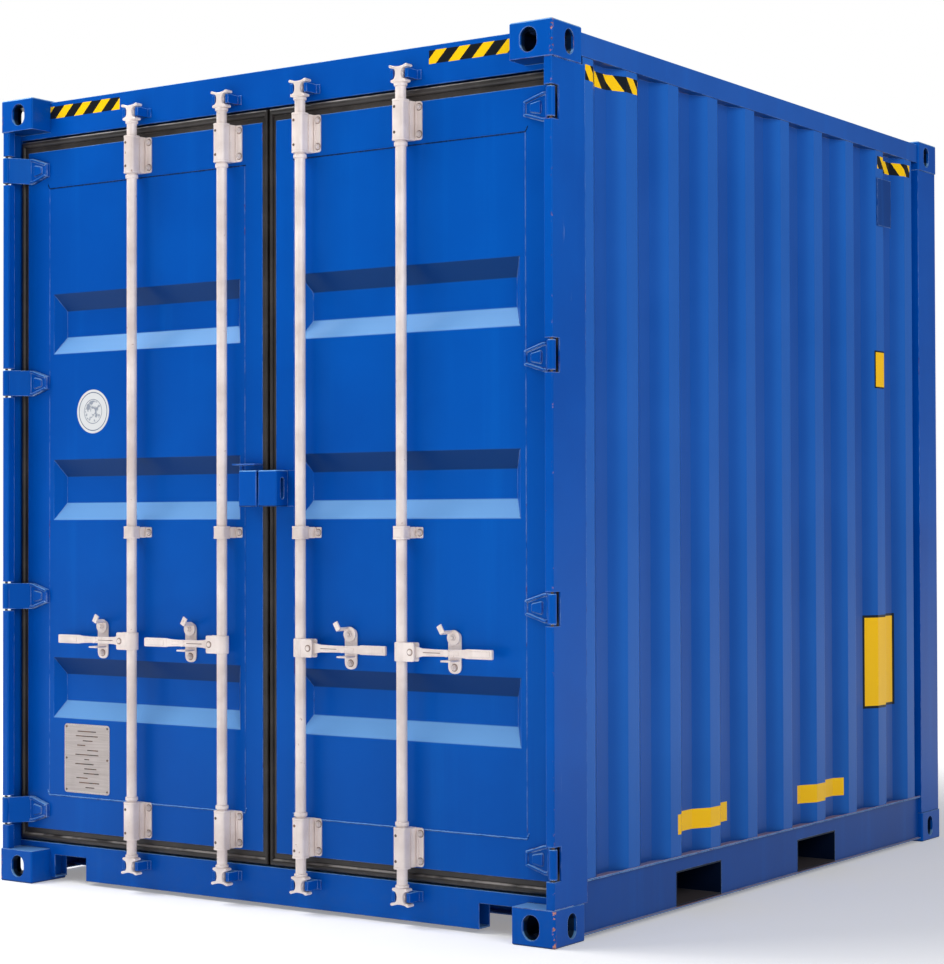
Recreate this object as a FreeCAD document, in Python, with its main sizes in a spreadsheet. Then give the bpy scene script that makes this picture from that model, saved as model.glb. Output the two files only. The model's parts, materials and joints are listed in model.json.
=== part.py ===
import FreeCAD, Part
import math
import os

import Sketcher

# A ten-foot steel freight container with two hinged doors at its front end.
# Millimetres. +Z is up, the doors face -Y, and the origin is the middle of the footprint on the ground.

doc = FreeCAD.newDocument("container")
sheet = doc.addObject("Spreadsheet::Sheet", "Sizes")
nodes = []


class Size:
    """A length in millimetres that remembers the sheet expression it was worked out from."""

    def __init__(self, text, value):
        self.text = text
        self.value = value

    def join(self, other, sign, value, swap=False):
        left, right = (other, self) if swap else (self, other)
        return Size("(%s %s %s)" % (left.text, sign, right.text), value)

    def __add__(self, other):
        other = as_size(other)
        return self.join(other, "+", self.value + other.value)

    __radd__ = __add__

    def __sub__(self, other):
        other = as_size(other)
        return self.join(other, "-", self.value - other.value)

    def __rsub__(self, other):
        return as_size(other) - self

    def __mul__(self, other):
        other = as_size(other)
        return self.join(other, "*", self.value * other.value)

    __rmul__ = __mul__

    def __truediv__(self, other):
        other = as_size(other)
        return self.join(other, "/", self.value / other.value)

    def __neg__(self):
        return as_size(0) - self


def as_size(number):
    if isinstance(number, Size):
        return number
    return Size("(%s)" % repr(number), float(number))


def root(size):
    return Size("sqrt(%s)" % size.text, math.sqrt(size.value))


def size(alias, millimetres):
    """One driving dimension: a cell of the sheet, and the value that reads it."""
    row = size.row = getattr(size, "row", 0) + 1
    sheet.set("A%d" % row, alias.replace("_", " "))
    sheet.set("B%d" % row, str(millimetres))
    sheet.setAlias("B%d" % row, alias)
    return Size("Sizes.%s" % alias, float(millimetres))


# ---- driving dimensions -------------------------------------------------------------------------

overall_width = size("overall_width", 2438)
overall_length = size("overall_length", 2991)
overall_height = size("overall_height", 2896)

casting_length = size("casting_length", 178)
casting_width = size("casting_width", 162)
casting_height = size("casting_height", 118)
casting_wall = size("casting_wall", 28)
deck_hole_length = size("deck_hole_length", 124)
deck_hole_width = size("deck_hole_width", 63.5)
end_hole_width = size("end_hole_width", 63.5)
side_hole_width = size("side_hole_width", 51)
face_hole_height = size("face_hole_height", 79.5)
hole_from_end = size("hole_from_end", 101.5)
hole_from_side = size("hole_from_side", 89)
casting_round = size("casting_round", 7)

post_inset = size("post_inset", 4)
post_plate = size("post_plate", 6)
post_depth = size("post_depth", 200)
post_front_flange = size("post_front_flange", 32)
post_lip = size("post_lip", 30)
post_box_width = size("post_box_width", 72)
back_post_width = size("back_post_width", 120)

face_recess = size("face_recess", 92)
door_stop_recess = size("door_stop_recess", 150)
end_beam_wall = size("end_beam_wall", 5)
header_depth = size("header_depth", 139)
header_lip = size("header_lip", 57)
sill_top = size("sill_top", 141)
ground_clearance = size("ground_clearance", 14)
roof_clearance = size("roof_clearance", 8)
sill_notch_start = size("sill_notch_start", 872)
sill_notch_end = size("sill_notch_end", 1030)
sill_notch_top = size("sill_notch_top", 98)

rail_inset = size("rail_inset", 8)
rail_width = size("rail_width", 50)
rail_plate = size("rail_plate", 4.5)
bottom_rail_top = size("bottom_rail_top", 186)
bottom_rail_web_inset = size("bottom_rail_web_inset", 11)
top_rail_height = size("top_rail_height", 76)
top_rail_wall = size("top_rail_wall", 4)
top_rail_drop = size("top_rail_drop", 14)

wall_inset = size("wall_inset", 12)
wall_sheet = size("wall_sheet", 2)
wall_fold_depth = size("wall_fold_depth", 36)
wall_fold_run = size("wall_fold_run", 68)
wall_first_flat = size("wall_first_flat", 62)
wall_last_run = size("wall_last_run", 50)
end_wall_fold_run = size("end_wall_fold_run", 60)
end_wall_edge_flat = size("end_wall_edge_flat", 90)
roof_fold_depth = size("roof_fold_depth", 20)
roof_fold_run = size("roof_fold_run", 18)
roof_edge_flat = size("roof_edge_flat", 70)

floor_board = size("floor_board", 28)
floor_top = size("floor_top", 170)
board_gap = size("board_gap", 2)
cross_member_height = size("cross_member_height", 122)
cross_member_width = size("cross_member_width", 45)
cross_member_plate = size("cross_member_plate", 4)
pocket_width = size("pocket_width", 320)
pocket_height = size("pocket_height", 118)
pocket_plate = size("pocket_plate", 5)
pocket_spacing = size("pocket_spacing", 912)
pocket_shift = size("pocket_shift", -85)

vent_width = size("vent_width", 126)
vent_height = size("vent_height", 190)
vent_depth = size("vent_depth", 6)
vent_from_post = size("vent_from_post", 330)
vent_centre_drop = size("vent_centre_drop", 296)

pin_inset = size("pin_inset", 14.5)
pin_radius = size("pin_radius", 5)
pin_clearance = size("pin_clearance", 0.3)
barrel_radius = size("barrel_radius", 12)
blade_height = size("blade_height", 95)
blade_tip_height = size("blade_tip_height", 48)
blade_plate = size("blade_plate", 12)
blade_reach = size("blade_reach", 145)
hinge_notch_height = size("hinge_notch_height", 108)
hinge_notch_depth = size("hinge_notch_depth", 45)
hinge_lug_height = size("hinge_lug_height", 26)
hinge_lowest = size("hinge_lowest", 260)
hinge_highest_drop = size("hinge_highest_drop", 260)

running_gap = size("running_gap", 5)
meeting_gap = size("meeting_gap", 6.5)
leaf_stop_gap = size("leaf_stop_gap", 8)
leaf_plate = size("leaf_plate", 4)
gasket_outer_width = size("gasket_outer_width", 33)
gasket_meeting_width = size("gasket_meeting_width", 23.5)
gasket_foot_width = size("gasket_foot_width", 44)
gasket_head_width = size("gasket_head_width", 44)
outer_stile = size("outer_stile", 112)
inner_stile = size("inner_stile", 80)
bottom_rail_depth = size("bottom_rail_depth", 128)
top_rail_depth = size("top_rail_depth", 142)
panel_sheet = size("panel_sheet", 2)
tray_depth = size("tray_depth", 36)
tray_slope = size("tray_slope", 62)
tray_end_slope = size("tray_end_slope", 34)
tray_margin = size("tray_margin", 22)
tray_height = size("tray_height", 222)
tray_low_centre = size("tray_low_centre", 716)
tray_mid_shift = size("tray_mid_shift", 58)
tray_high_drop = size("tray_high_drop", 506)
gasket_setback = size("gasket_setback", 2)
gasket_stop_gap = size("gasket_stop_gap", 5)

outer_bar_place = size("outer_bar_place", 600)
inner_bar_place = size("inner_bar_place", 175)
bar_radius = size("bar_radius", 18)
bar_wall = size("bar_wall", 3)
bar_recess = size("bar_recess", 45)
bar_bottom = size("bar_bottom", 70)
bar_top_drop = size("bar_top_drop", 70)
cam_height = size("cam_height", 60)
cam_flange = size("cam_flange", 9)
cam_half_length = size("cam_half_length", 38)
cam_end_radius = size("cam_end_radius", 18)
cam_web_radius = size("cam_web_radius", 15)
collar_wall = size("collar_wall", 4)
collar_height = size("collar_height", 13)
keeper_plate = size("keeper_plate", 4)
keeper_half_width = size("keeper_half_width", 52)
keeper_lug_start = size("keeper_lug_start", 23)
keeper_lug_end = size("keeper_lug_end", 37)

bracket_plate = size("bracket_plate", 6)
bracket_half_width = size("bracket_half_width", 55)
bracket_height = size("bracket_height", 136)
bracket_high_drop = size("bracket_high_drop", 64)
bracket_low_rise = size("bracket_low_rise", 69.5)
guide_height = size("guide_height", 44)
guide_centre = size("guide_centre", 1289)
housing_wall = size("housing_wall", 4)
bar_slack = size("bar_slack", 1)

handle_centre = size("handle_centre", 900)
handle_length = size("handle_length", 360)
handle_thickness = size("handle_thickness", 10)
handle_height = size("handle_height", 36)
grip_height = size("grip_height", 31)
grip_length = size("grip_length", 105)
grip_thickness = size("grip_thickness", 13)
hub_end = size("hub_end", 12)
hub_height = size("hub_height", 62)
hub_plate = size("hub_plate", 6)
hub_heel_gap = size("hub_heel_gap", 5)
hub_bolt_radius = size("hub_bolt_radius", 6)

catch_place = size("catch_place", 182)
catch_width = size("catch_width", 52)
catch_height = size("catch_height", 138)
catch_plate = size("catch_plate", 6)
catch_pivot_above = size("catch_pivot_above", 48.5)
catch_bolt_radius = size("catch_bolt_radius", 7)
catch_disc_radius = size("catch_disc_radius", 25)
catch_disc_gap = size("catch_disc_gap", 1)
catch_head_radius = size("catch_head_radius", 11)
catch_swing_gap = size("catch_swing_gap", 7)
tongue_width = size("tongue_width", 19)
tongue_thickness = size("tongue_thickness", 5)
tongue_drop = size("tongue_drop", 24)
catch_parked_angle = size("catch_parked_angle", 150)

shroud_half_width = size("shroud_half_width", 84)
shroud_bottom = size("shroud_bottom", 1378)
shroud_top = size("shroud_top", 1502)
shroud_plate = size("shroud_plate", 5)
shroud_front_recess = size("shroud_front_recess", 27)
shroud_flange = size("shroud_flange", 34)
shroud_seam = size("shroud_seam", 5.5)
hood_half_width = size("hood_half_width", 130)
hood_height = size("hood_height", 1526)

plate_width = size("plate_width", 226)
plate_height = size("plate_height", 252)
plate_thickness = size("plate_thickness", 2)
plate_place = size("plate_place", 866)
plate_centre_height = size("plate_centre_height", 460)

# ---- places worked out from them ----------------------------------------------------------------

side = overall_width / 2
back = overall_length / 2
front = -back
top = overall_height
post_face = side - post_inset
post_back = front + post_depth
face = front + face_recess
door_stop = front + door_stop_recess
header_top = top - roof_clearance
casting_inner = side - casting_width
rail_face = side - rail_inset
rail_inner = rail_face - rail_width
top_rail_top = top - top_rail_drop
top_rail_bottom = top_rail_top - top_rail_height
header_underside = top - header_depth
vent_centre_height = top - vent_centre_drop
wall_face = side - wall_inset
back_face = back - wall_inset
back_post_front = back - casting_length
beam_back = door_stop + end_beam_wall + 1
pin_x = side - pin_inset
pin_y = front + pin_inset
bar_y = front + bar_recess
handle_front = bar_y - handle_thickness / 2
handle_back = bar_y + handle_thickness / 2
leaf_depth = door_stop - face - leaf_stop_gap
leaf_back = face + leaf_depth
gasket_depth = door_stop - face - gasket_setback - gasket_stop_gap
gasket_outer_edge = post_face - post_plate - running_gap - 1
leaf_inner_edge = meeting_gap + gasket_meeting_width
leaf_outer_edge = gasket_outer_edge - gasket_outer_width
leaf_bottom = sill_top + running_gap + gasket_foot_width
leaf_top = header_underside - running_gap - gasket_head_width
hinge_spacing = (top - hinge_highest_drop - hinge_lowest) / 3
hinge_heights = [hinge_lowest + hinge_spacing * step for step in range(4)]
panel_top = leaf_top - top_rail_depth
tray_high_centre = panel_top - tray_high_drop
tray_mid_centre = (tray_low_centre + tray_high_centre) / 2 + tray_mid_shift
tray_centres = [tray_low_centre, tray_mid_centre, tray_high_centre]
bar_top = top - bar_top_drop
collar_radius = bar_radius + collar_wall
housing_radius = bar_radius + housing_wall
bracket_high_centre = leaf_top - bracket_high_drop
bracket_low_centre = leaf_bottom + bracket_low_rise
hub_bolt_place = housing_radius + hub_heel_gap + handle_height / 2
hub_reach = hub_bolt_place + hub_end
bars = {"outer": outer_bar_place, "inner": inner_bar_place}
pocket_centres = [pocket_shift - pocket_spacing / 2, pocket_shift + pocket_spacing / 2]

# ---- makers -------------------------------------------------------------------------------------


def bind(thing, prop, value):
    thing.setExpression(prop, as_size(value).text)


def place(thing, x, y, z):
    for axis, value in zip("xyz", (x, y, z)):
        bind(thing, "Placement.Base.%s" % axis, value)
    return thing


def add(kind, name):
    return doc.addObject(kind, name)


def block(name, x, y, z):
    """A box between two values along each axis."""
    box = add("Part::Box", name)
    for prop, span in zip(("Length", "Width", "Height"), (x, y, z)):
        bind(box, prop, span[1] - span[0])
    return place(box, x[0], y[0], z[0])


TURNS = {
    "x": FreeCAD.Rotation(FreeCAD.Vector(0, 1, 0), 90),
    "y": FreeCAD.Rotation(FreeCAD.Vector(1, 0, 0), -90),
    "z": FreeCAD.Rotation(),
}


def rod(name, axis, radius, start, length):
    """A cylinder from the point start along one axis."""
    cylinder = add("Part::Cylinder", name)
    bind(cylinder, "Radius", radius)
    bind(cylinder, "Height", length)
    cylinder.Placement = FreeCAD.Placement(FreeCAD.Vector(), TURNS[axis])
    return place(cylinder, *start)


def oblong(name, axis, width, length, start, depth, along):
    """A slot-shaped cutter: a bar with round ends, cut along axis and lying along another axis."""
    reach = (length - width) / 2
    steps = {"x": (1, 0, 0), "y": (0, 1, 0), "z": (0, 0, 1)}
    spans = []
    for letter, at in zip("xyz", start):
        if letter == axis:
            spans.append((at, at + depth))
        elif letter == along:
            spans.append((at - reach, at + reach))
        else:
            spans.append((at - width / 2, at + width / 2))
    ends = []
    for sign in (-1, 1):
        centre = [at + reach * (sign * step) for at, step in zip(start, steps[along])]
        ends.append(rod(name + "_end", axis, width / 2, centre, depth))
    return fuse(name, [block(name + "_bar", *spans)] + ends)


PLANES = {"x": "YZ_Plane", "y": "XZ_Plane", "z": "XY_Plane"}


def outline(sketch, points):
    """Closes one loop of straight edges in a sketch, each corner tied to its own expressions."""
    first = sketch.GeometryCount
    count = len(points)
    corners = [FreeCAD.Vector(as_size(u).value, as_size(v).value, 0) for u, v in points]
    for k in range(count):
        sketch.addGeometry(Part.LineSegment(corners[k], corners[(k + 1) % count]), False)
    for k in range(count):
        sketch.addConstraint(Sketcher.Constraint("Coincident", first + k, 2, first + (k + 1) % count, 1))
    for k, (u, v) in enumerate(points):
        for kind, value in (("DistanceX", as_size(u)), ("DistanceY", as_size(v))):
            rule = Sketcher.Constraint(kind, -1, 1, first + k, 1, value.value)
            number = sketch.addConstraint(rule)
            sketch.setExpression("Constraints[%d]" % number, value.text)


def prism(name, axis, loops, start, end):
    """A PartDesign body: a sketch of one outer loop and any inner ones, padded between two values."""
    body = add("PartDesign::Body", name)
    sketch = body.newObject("Sketcher::SketchObject", name + "_sketch")
    plane = [f for f in body.Origin.OriginFeatures if f.Role == PLANES[axis]][0]
    sketch.AttachmentSupport = (plane, [""])
    sketch.MapMode = "FlatFace"
    away = -1 if axis == "y" else 1
    bind(sketch, "AttachmentOffset.Base.z", as_size(start) * away)
    for loop in loops:
        outline(sketch, loop)
    pad = body.newObject("PartDesign::Pad", name + "_pad")
    pad.Profile = sketch
    pad.Reversed = axis == "y"
    bind(pad, "Length", end - start)
    return body


def rectangle(u, v):
    return [(u[0], v[0]), (u[1], v[0]), (u[1], v[1]), (u[0], v[1])]


def cut(name, base, *tools):
    for count, tool in enumerate(tools):
        result = add("Part::Cut", "%s_%d" % (name, count) if count + 1 < len(tools) else name)
        result.Base = base
        result.Tool = tool
        base = result
    return base


def fuse(name, shapes):
    joined = add("Part::MultiFuse", name)
    joined.Shapes = shapes
    return joined


def common(name, first, second):
    shared = add("Part::Common", name)
    shared.Base = first
    shared.Tool = second
    return shared


def group(name, shapes):
    """Several like solids that don't touch, kept as one sub-part."""
    together = add("Part::Compound", name)
    together.Links = shapes
    return together


def mirror(name, source, normal=(1, 0, 0)):
    copy = add("Part::Mirroring", name)
    copy.Source = source
    copy.Base = FreeCAD.Vector(0, 0, 0)
    copy.Normal = FreeCAD.Vector(*normal)
    return copy


def round_edges(name, source, edges, radius):
    softened = add("Part::Fillet", name)
    softened.Base = source
    softened.Edges = [(number, radius.value, radius.value) for number in edges]
    return softened


def sub_part(label, thing):
    """Names a finished sub-part, so that it is written under that name."""
    thing.Label = label
    assert thing.Label == label, "the name %s is already taken" % label
    nodes.append(thing)
    return thing


def edge_numbers(shape, wanted):
    """The numbers of the straight edges of a shape whose two ends satisfy wanted."""
    found = []
    for number, edge in enumerate(shape.Edges, 1):
        ends = [vertex.Point for vertex in edge.Vertexes]
        if len(ends) == 2 and wanted(ends[0], ends[1]):
            found.append(number)
    return found


# ---- corner castings ----------------------------------------------------------------------------


def corner_casting(name, z_low, deck_at_top):
    """A hollow cast box with one oblong hole in its deck and one in each outer face."""
    x_span = (casting_inner, side)
    y_span = (front, front + casting_length)
    z_high = z_low + casting_height
    hole_x = side - hole_from_side
    hole_y = front + hole_from_end
    hole_z = z_low + casting_height / 2
    outer = block(name + "_block", x_span, y_span, (z_low, z_high))
    doc.recompute()
    low = z_low.value + 1
    high = z_high.value - 1
    upright = lambda a, b: abs(a.z - b.z) > high - low
    soft = round_edges(name + "_soft", outer, edge_numbers(outer.Shape, upright), casting_round)
    hollow = block(
        name + "_hollow",
        (x_span[0] + casting_wall / 2, x_span[1] - casting_wall),
        (y_span[0] + casting_wall, y_span[1] - casting_wall / 2),
        (z_low + casting_wall / 2, z_high - casting_wall)
        if deck_at_top
        else (z_low + casting_wall, z_high - casting_wall / 2),
    )
    deck_start = z_high - casting_wall - 1 if deck_at_top else z_low - 1
    deck = oblong(
        name + "_deck", "z", deck_hole_width, deck_hole_length,
        (hole_x, hole_y, deck_start), casting_wall + 2, "y",
    )
    end = oblong(
        name + "_end", "y", end_hole_width, face_hole_height,
        (hole_x, front - 1, hole_z), casting_wall + 2, "z",
    )
    flank = oblong(
        name + "_flank", "x", side_hole_width, face_hole_height,
        (side - casting_wall - 1, hole_y, hole_z), casting_wall + 2, "z",
    )
    return cut(name, soft, hollow, deck, end, flank)


def four_corners(name, casting):
    right_back = mirror(name + "_right_back", casting, (0, 1, 0))
    left_front = mirror(name + "_left_front", casting)
    left_back = mirror(name + "_left_back", right_back)
    return group(name, [casting, right_back, left_front, left_back])


upper = corner_casting("upper_casting", top - casting_height, True)
lower = corner_casting("lower_casting", as_size(0), False)
sub_part("top_corner_castings", four_corners("top_castings", upper))
sub_part("bottom_corner_castings", four_corners("bottom_castings", lower))

# ---- posts --------------------------------------------------------------------------------------

post_foot = casting_height
post_head = top - casting_height
channel_inner = post_face - post_box_width


def door_post():
    """A folded plate whose front edge turns in and back, with a box channel behind the leaf's edge."""
    web = post_face - post_plate
    lip = post_face - post_front_flange
    outer = [
        (post_face, front + post_inset),
        (post_face, post_back),
        (channel_inner, post_back),
        (channel_inner, door_stop),
        (web, door_stop),
        (web, front + post_inset + post_plate),
        (lip + post_plate, front + post_inset + post_plate),
        (lip + post_plate, front + post_inset + post_lip),
        (lip, front + post_inset + post_lip),
        (lip, front + post_inset),
    ]
    inner = rectangle(
        (channel_inner + post_plate, web), (door_stop + post_plate, post_back - post_plate)
    )
    solid = prism("door_post_profile", "z", [outer, inner], post_foot, post_head)
    notches = []
    for number, height in enumerate(hinge_heights):
        span = (height - hinge_notch_height / 2, height + hinge_notch_height / 2)
        notch = block(
            "hinge_notch_%d" % number, (lip - 1, side), (front, front + hinge_notch_depth), span
        )
        notches.append(notch)
    return cut("right_door_post", solid, *notches)


right_door_post = door_post()
left_door_post = mirror("left_door_post", right_door_post)
sub_part("door_posts", group("door_posts", [right_door_post, left_door_post]))

back_post_inner = post_face - back_post_width
back_post = prism(
    "back_post",
    "z",
    [
        rectangle((back_post_inner, post_face), (back_post_front, back - post_inset)),
        rectangle(
            (back_post_inner + post_plate, post_face - post_plate),
            (back_post_front + post_plate, back - post_inset - post_plate),
        ),
    ],
    post_foot,
    post_head,
)
sub_part("back_posts", group("back_posts", [back_post, mirror("left_back_post", back_post)]))


def hinge_pin_and_lugs(number, height):
    """An upright pin through the leaf's barrel, held by a lug inside the post above and below."""
    inner = post_face - post_front_flange + post_plate
    lug_x = (inner, post_face - post_plate)
    lug_y = (front + post_inset + post_plate, front + post_inset + post_lip)
    low = height - hinge_notch_height / 2
    high = height + hinge_notch_height / 2
    name = "hinge_pin_%d" % number
    lugs = [
        block(name + "_low_lug", lug_x, lug_y, (low - hinge_lug_height, low)),
        block(name + "_high_lug", lug_x, lug_y, (high, high + hinge_lug_height)),
    ]
    pin = rod(name + "_pin", "z", pin_radius, (pin_x, pin_y, low), hinge_notch_height)
    return fuse(name, [pin] + lugs)


pins = [hinge_pin_and_lugs(number, height) for number, height in enumerate(hinge_heights)]
pins += [mirror(pin.Name + "_left", pin) for pin in pins]
sub_part("hinge_pins", group("hinge_pins", pins))

# ---- door header and sill -----------------------------------------------------------------------


def end_beam(name, low, high, lip_low, lip_high, ear_low, ear_high):
    """A box beam between two castings, with ears that fill to the posts and a stop behind the leaf."""
    tube = prism(
        name + "_tube",
        "x",
        [
            rectangle((face, beam_back), (low, high)),
            rectangle(
                (face + end_beam_wall, beam_back - end_beam_wall),
                (low + end_beam_wall, high - end_beam_wall),
            ),
        ],
        -casting_inner,
        casting_inner,
    )
    lip_z = (lip_low, lip_high)
    stop = block(name + "_stop", (-channel_inner, channel_inner), (door_stop, beam_back), lip_z)
    ear_x = (casting_inner, post_face - post_plate)
    ear = block(name + "_ear", ear_x, (face, door_stop), (ear_low, ear_high))
    return fuse(name, [tube, stop, ear, mirror(name + "_left_ear", ear)])


header = end_beam(
    "header_beam",
    header_underside, header_top,
    header_underside - header_lip, header_underside + end_beam_wall,
    header_underside, post_head,
)
sub_part("door_header", header)

sill = end_beam(
    "sill_beam",
    ground_clearance, sill_top,
    sill_top - end_beam_wall, floor_top,
    post_foot, sill_top,
)
sill_notch = block(
    "sill_notch",
    (sill_notch_start, sill_notch_end),
    (face - 1, beam_back + 1),
    (ground_clearance - 1, sill_notch_top),
)
sub_part("door_sill", cut("door_sill", sill, sill_notch, mirror("left_sill_notch", sill_notch)))

# ---- closed end: header and sill ----------------------------------------------------------------

back_beam_front = back_face - rail_width
back_header = prism(
    "back_header",
    "x",
    [
        rectangle((back_beam_front, back_face), (top_rail_bottom, top_rail_top)),
        rectangle(
            (back_beam_front + top_rail_wall, back_face - top_rail_wall),
            (top_rail_bottom + top_rail_wall, top_rail_top - top_rail_wall),
        ),
    ],
    -casting_inner,
    casting_inner,
)
sub_part("back_header", back_header)

back_sill = prism(
    "back_sill",
    "x",
    [
        [
            (back_beam_front, ground_clearance),
            (back_face, ground_clearance),
            (back_face, bottom_rail_top),
            (back_beam_front, bottom_rail_top),
            (back_beam_front, bottom_rail_top - rail_plate),
            (back_face - rail_plate, bottom_rail_top - rail_plate),
            (back_face - rail_plate, ground_clearance + rail_plate),
            (back_beam_front, ground_clearance + rail_plate),
        ]
    ],
    -casting_inner,
    casting_inner,
)
sub_part("back_sill", back_sill)

# ---- side rails ---------------------------------------------------------------------------------

top_rail = prism(
    "top_rail",
    "y",
    [
        rectangle((rail_inner, rail_face), (top_rail_bottom, top_rail_top)),
        rectangle(
            (rail_inner + top_rail_wall, rail_face - top_rail_wall),
            (top_rail_bottom + top_rail_wall, top_rail_top - top_rail_wall),
        ),
    ],
    front + casting_length,
    back_post_front,
)
sub_part("top_rails", group("top_rails", [top_rail, mirror("left_top_rail", top_rail)]))

pocket_low = ground_clearance + rail_plate
pocket_high = pocket_low + pocket_height


def bottom_rail():
    """A channel whose web is set back between two flanges, pierced by the fork pockets."""
    web_face = rail_face - bottom_rail_web_inset
    low = ground_clearance
    high = bottom_rail_top
    profile = [
        (rail_inner, low),
        (rail_face, low),
        (rail_face, low + rail_plate),
        (web_face, low + rail_plate),
        (web_face, high - rail_plate),
        (rail_face, high - rail_plate),
        (rail_face, high),
        (rail_inner, high),
        (rail_inner, high - rail_plate),
        (web_face - rail_plate, high - rail_plate),
        (web_face - rail_plate, low + rail_plate),
        (rail_inner, low + rail_plate),
    ]
    rail = prism("bottom_rail_profile", "y", [profile], front + casting_length, back_post_front)
    tools = [
        block("post_foot_gap", (rail_inner - 1, side), (front, post_back), (post_foot, high + 1)),
    ]
    for number, centre in enumerate(pocket_centres):
        hole = block(
            "pocket_hole_%d" % number,
            (rail_inner - 1, side),
            (centre - pocket_width / 2, centre + pocket_width / 2),
            (pocket_low, pocket_high),
        )
        tools.append(hole)
    return cut("bottom_rail", rail, *tools)


right_bottom_rail = bottom_rail()
sub_part(
    "bottom_rails",
    group("bottom_rails", [right_bottom_rail, mirror("left_bottom_rail", right_bottom_rail)]),
)

# ---- folded sheets: walls and roof --------------------------------------------------------------


def folded_sheet(steps, thickness, depth, run):
    """The two faces of a folded sheet, as (along, inwards) corners. A step is a length and a change
    of level, where level 0 is the outer face and level 1 is depth further in."""
    slope = root(run * run + depth * depth)
    shift = thickness * (slope - run) / depth
    along = as_size(0)
    level = 0
    near = [(along, as_size(0))]
    far = [(along, thickness)]
    for length, change in steps:
        along = along + length
        level += change
        near.append((along, depth * level))
    for k in range(1, len(near) - 1):
        rising = near[k][1].value != near[k - 1][1].value
        sinks = near[k + 1][1].value > near[k][1].value or near[k - 1][1].value > near[k][1].value
        assert rising or near[k + 1][1].value != near[k][1].value
        back_off = shift if (sinks != rising) else -shift
        far.append((near[k][0] - back_off, near[k][1] + thickness))
    far.append((near[-1][0], near[-1][1] + thickness))
    return near, far


def side_wall():
    """Upright trapezoid folds from the door post to the back post."""
    start = post_back
    end = back_post_front
    count = 9
    pitch = (end - start - wall_first_flat - wall_last_run) / count
    flat = pitch / 2 - wall_fold_run
    steps = [(wall_first_flat, 0)]
    for fold in range(count):
        steps += [(wall_fold_run, 1), (flat, 0), (wall_fold_run, -1), (flat, 0)]
    steps.append((wall_last_run, 1))
    near, far = folded_sheet(steps, wall_sheet, wall_fold_depth, wall_fold_run)
    loop = [(wall_face - v, start + u) for u, v in near]
    loop += [(wall_face - v, start + u) for u, v in reversed(far)]
    return prism("side_wall", "z", [loop], bottom_rail_top, top_rail_bottom)


right_wall = side_wall()
sub_part("right_side_wall", right_wall)
sub_part("left_side_wall", mirror("left_wall", right_wall))


def end_wall():
    """Wider upright folds between the back posts, between the two back beams."""
    half = back_post_inner
    count = 6
    pitch = (half * 2 - end_wall_edge_flat * 2) / count
    flat = pitch / 2 - end_wall_fold_run
    steps = [(end_wall_edge_flat + flat / 2, 0)]
    for fold in range(count):
        after = flat if fold + 1 < count else end_wall_edge_flat + flat / 2
        steps += [(end_wall_fold_run, 1), (flat, 0), (end_wall_fold_run, -1), (after, 0)]
    near, far = folded_sheet(steps, wall_sheet, wall_fold_depth, end_wall_fold_run)
    loop = [(u - half, back_face - v) for u, v in near]
    loop += [(u - half, back_face - v) for u, v in reversed(far)]
    sheet_body = prism("end_sheet", "z", [loop], bottom_rail_top, top_rail_bottom)
    corner = block("end_corner", (casting_inner, side), (back - casting_length, back), (post_head, top))
    return cut("trimmed_end_wall", sheet_body, corner, mirror("end_left_corner", corner))


sub_part("end_wall", end_wall())


def roof():
    """Shallow folds that run across, between the top rails."""
    start = beam_back
    end = back_beam_front
    count = 10
    pitch = (end - start - roof_edge_flat * 2) / count
    flat = pitch / 2 - roof_fold_run
    steps = [(roof_edge_flat + flat / 2, 0)]
    for fold in range(count):
        after = flat if fold + 1 < count else roof_edge_flat + flat / 2
        steps += [(roof_fold_run, 1), (flat, 0), (roof_fold_run, -1), (after, 0)]
    near, far = folded_sheet(steps, wall_sheet, roof_fold_depth, roof_fold_run)
    loop = [(start + u, top_rail_top - v) for u, v in near]
    loop += [(start + u, top_rail_top - v) for u, v in reversed(far)]
    sheet_body = prism("roof", "x", [loop], -rail_inner, rail_inner)
    z_span = (post_head, top)
    near = block("roof_corner", (casting_inner, side), (front, front + casting_length), z_span)
    far = block("roof_far_corner", (casting_inner, side), (back - casting_length, back), z_span)
    corners = [near, far, mirror("roof_left_corner", near), mirror("roof_left_far_corner", far)]
    return cut("trimmed_roof", sheet_body, *corners)


sub_part("roof_panel", roof())

# ---- floor and what carries it ------------------------------------------------------------------

board_half = rail_inner - board_gap
board_width = (board_half * 2 - board_gap * 2) / 3
board_z = (floor_top - floor_board, floor_top)
corner_z = (board_z[0] - 1, board_z[1] + 1)
front_corner = block(
    "front_floor_corner", (channel_inner - board_gap, side), (front, post_back + board_gap), corner_z
)
back_corner = block(
    "back_floor_corner", (back_post_inner - board_gap, side), (back_post_front - board_gap, back), corner_z
)
corners_right = [front_corner, back_corner]
corners_left = [
    mirror("left_front_floor_corner", front_corner),
    mirror("left_back_floor_corner", back_corner),
]
boards = []
for number, corner_pair in enumerate((corners_left, [], corners_right)):
    board_left = (board_width + board_gap) * number - board_half
    board = block(
        "floor_board_%d" % number,
        (board_left, board_left + board_width),
        (beam_back, back_beam_front - board_gap),
        board_z,
    )
    boards.append(cut("trimmed_board_%d" % number, board, *corner_pair) if corner_pair else board)
sub_part("floor_boards", group("floor_boards", boards))

member_top = floor_top - floor_board
member_bottom = member_top - cross_member_height


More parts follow.
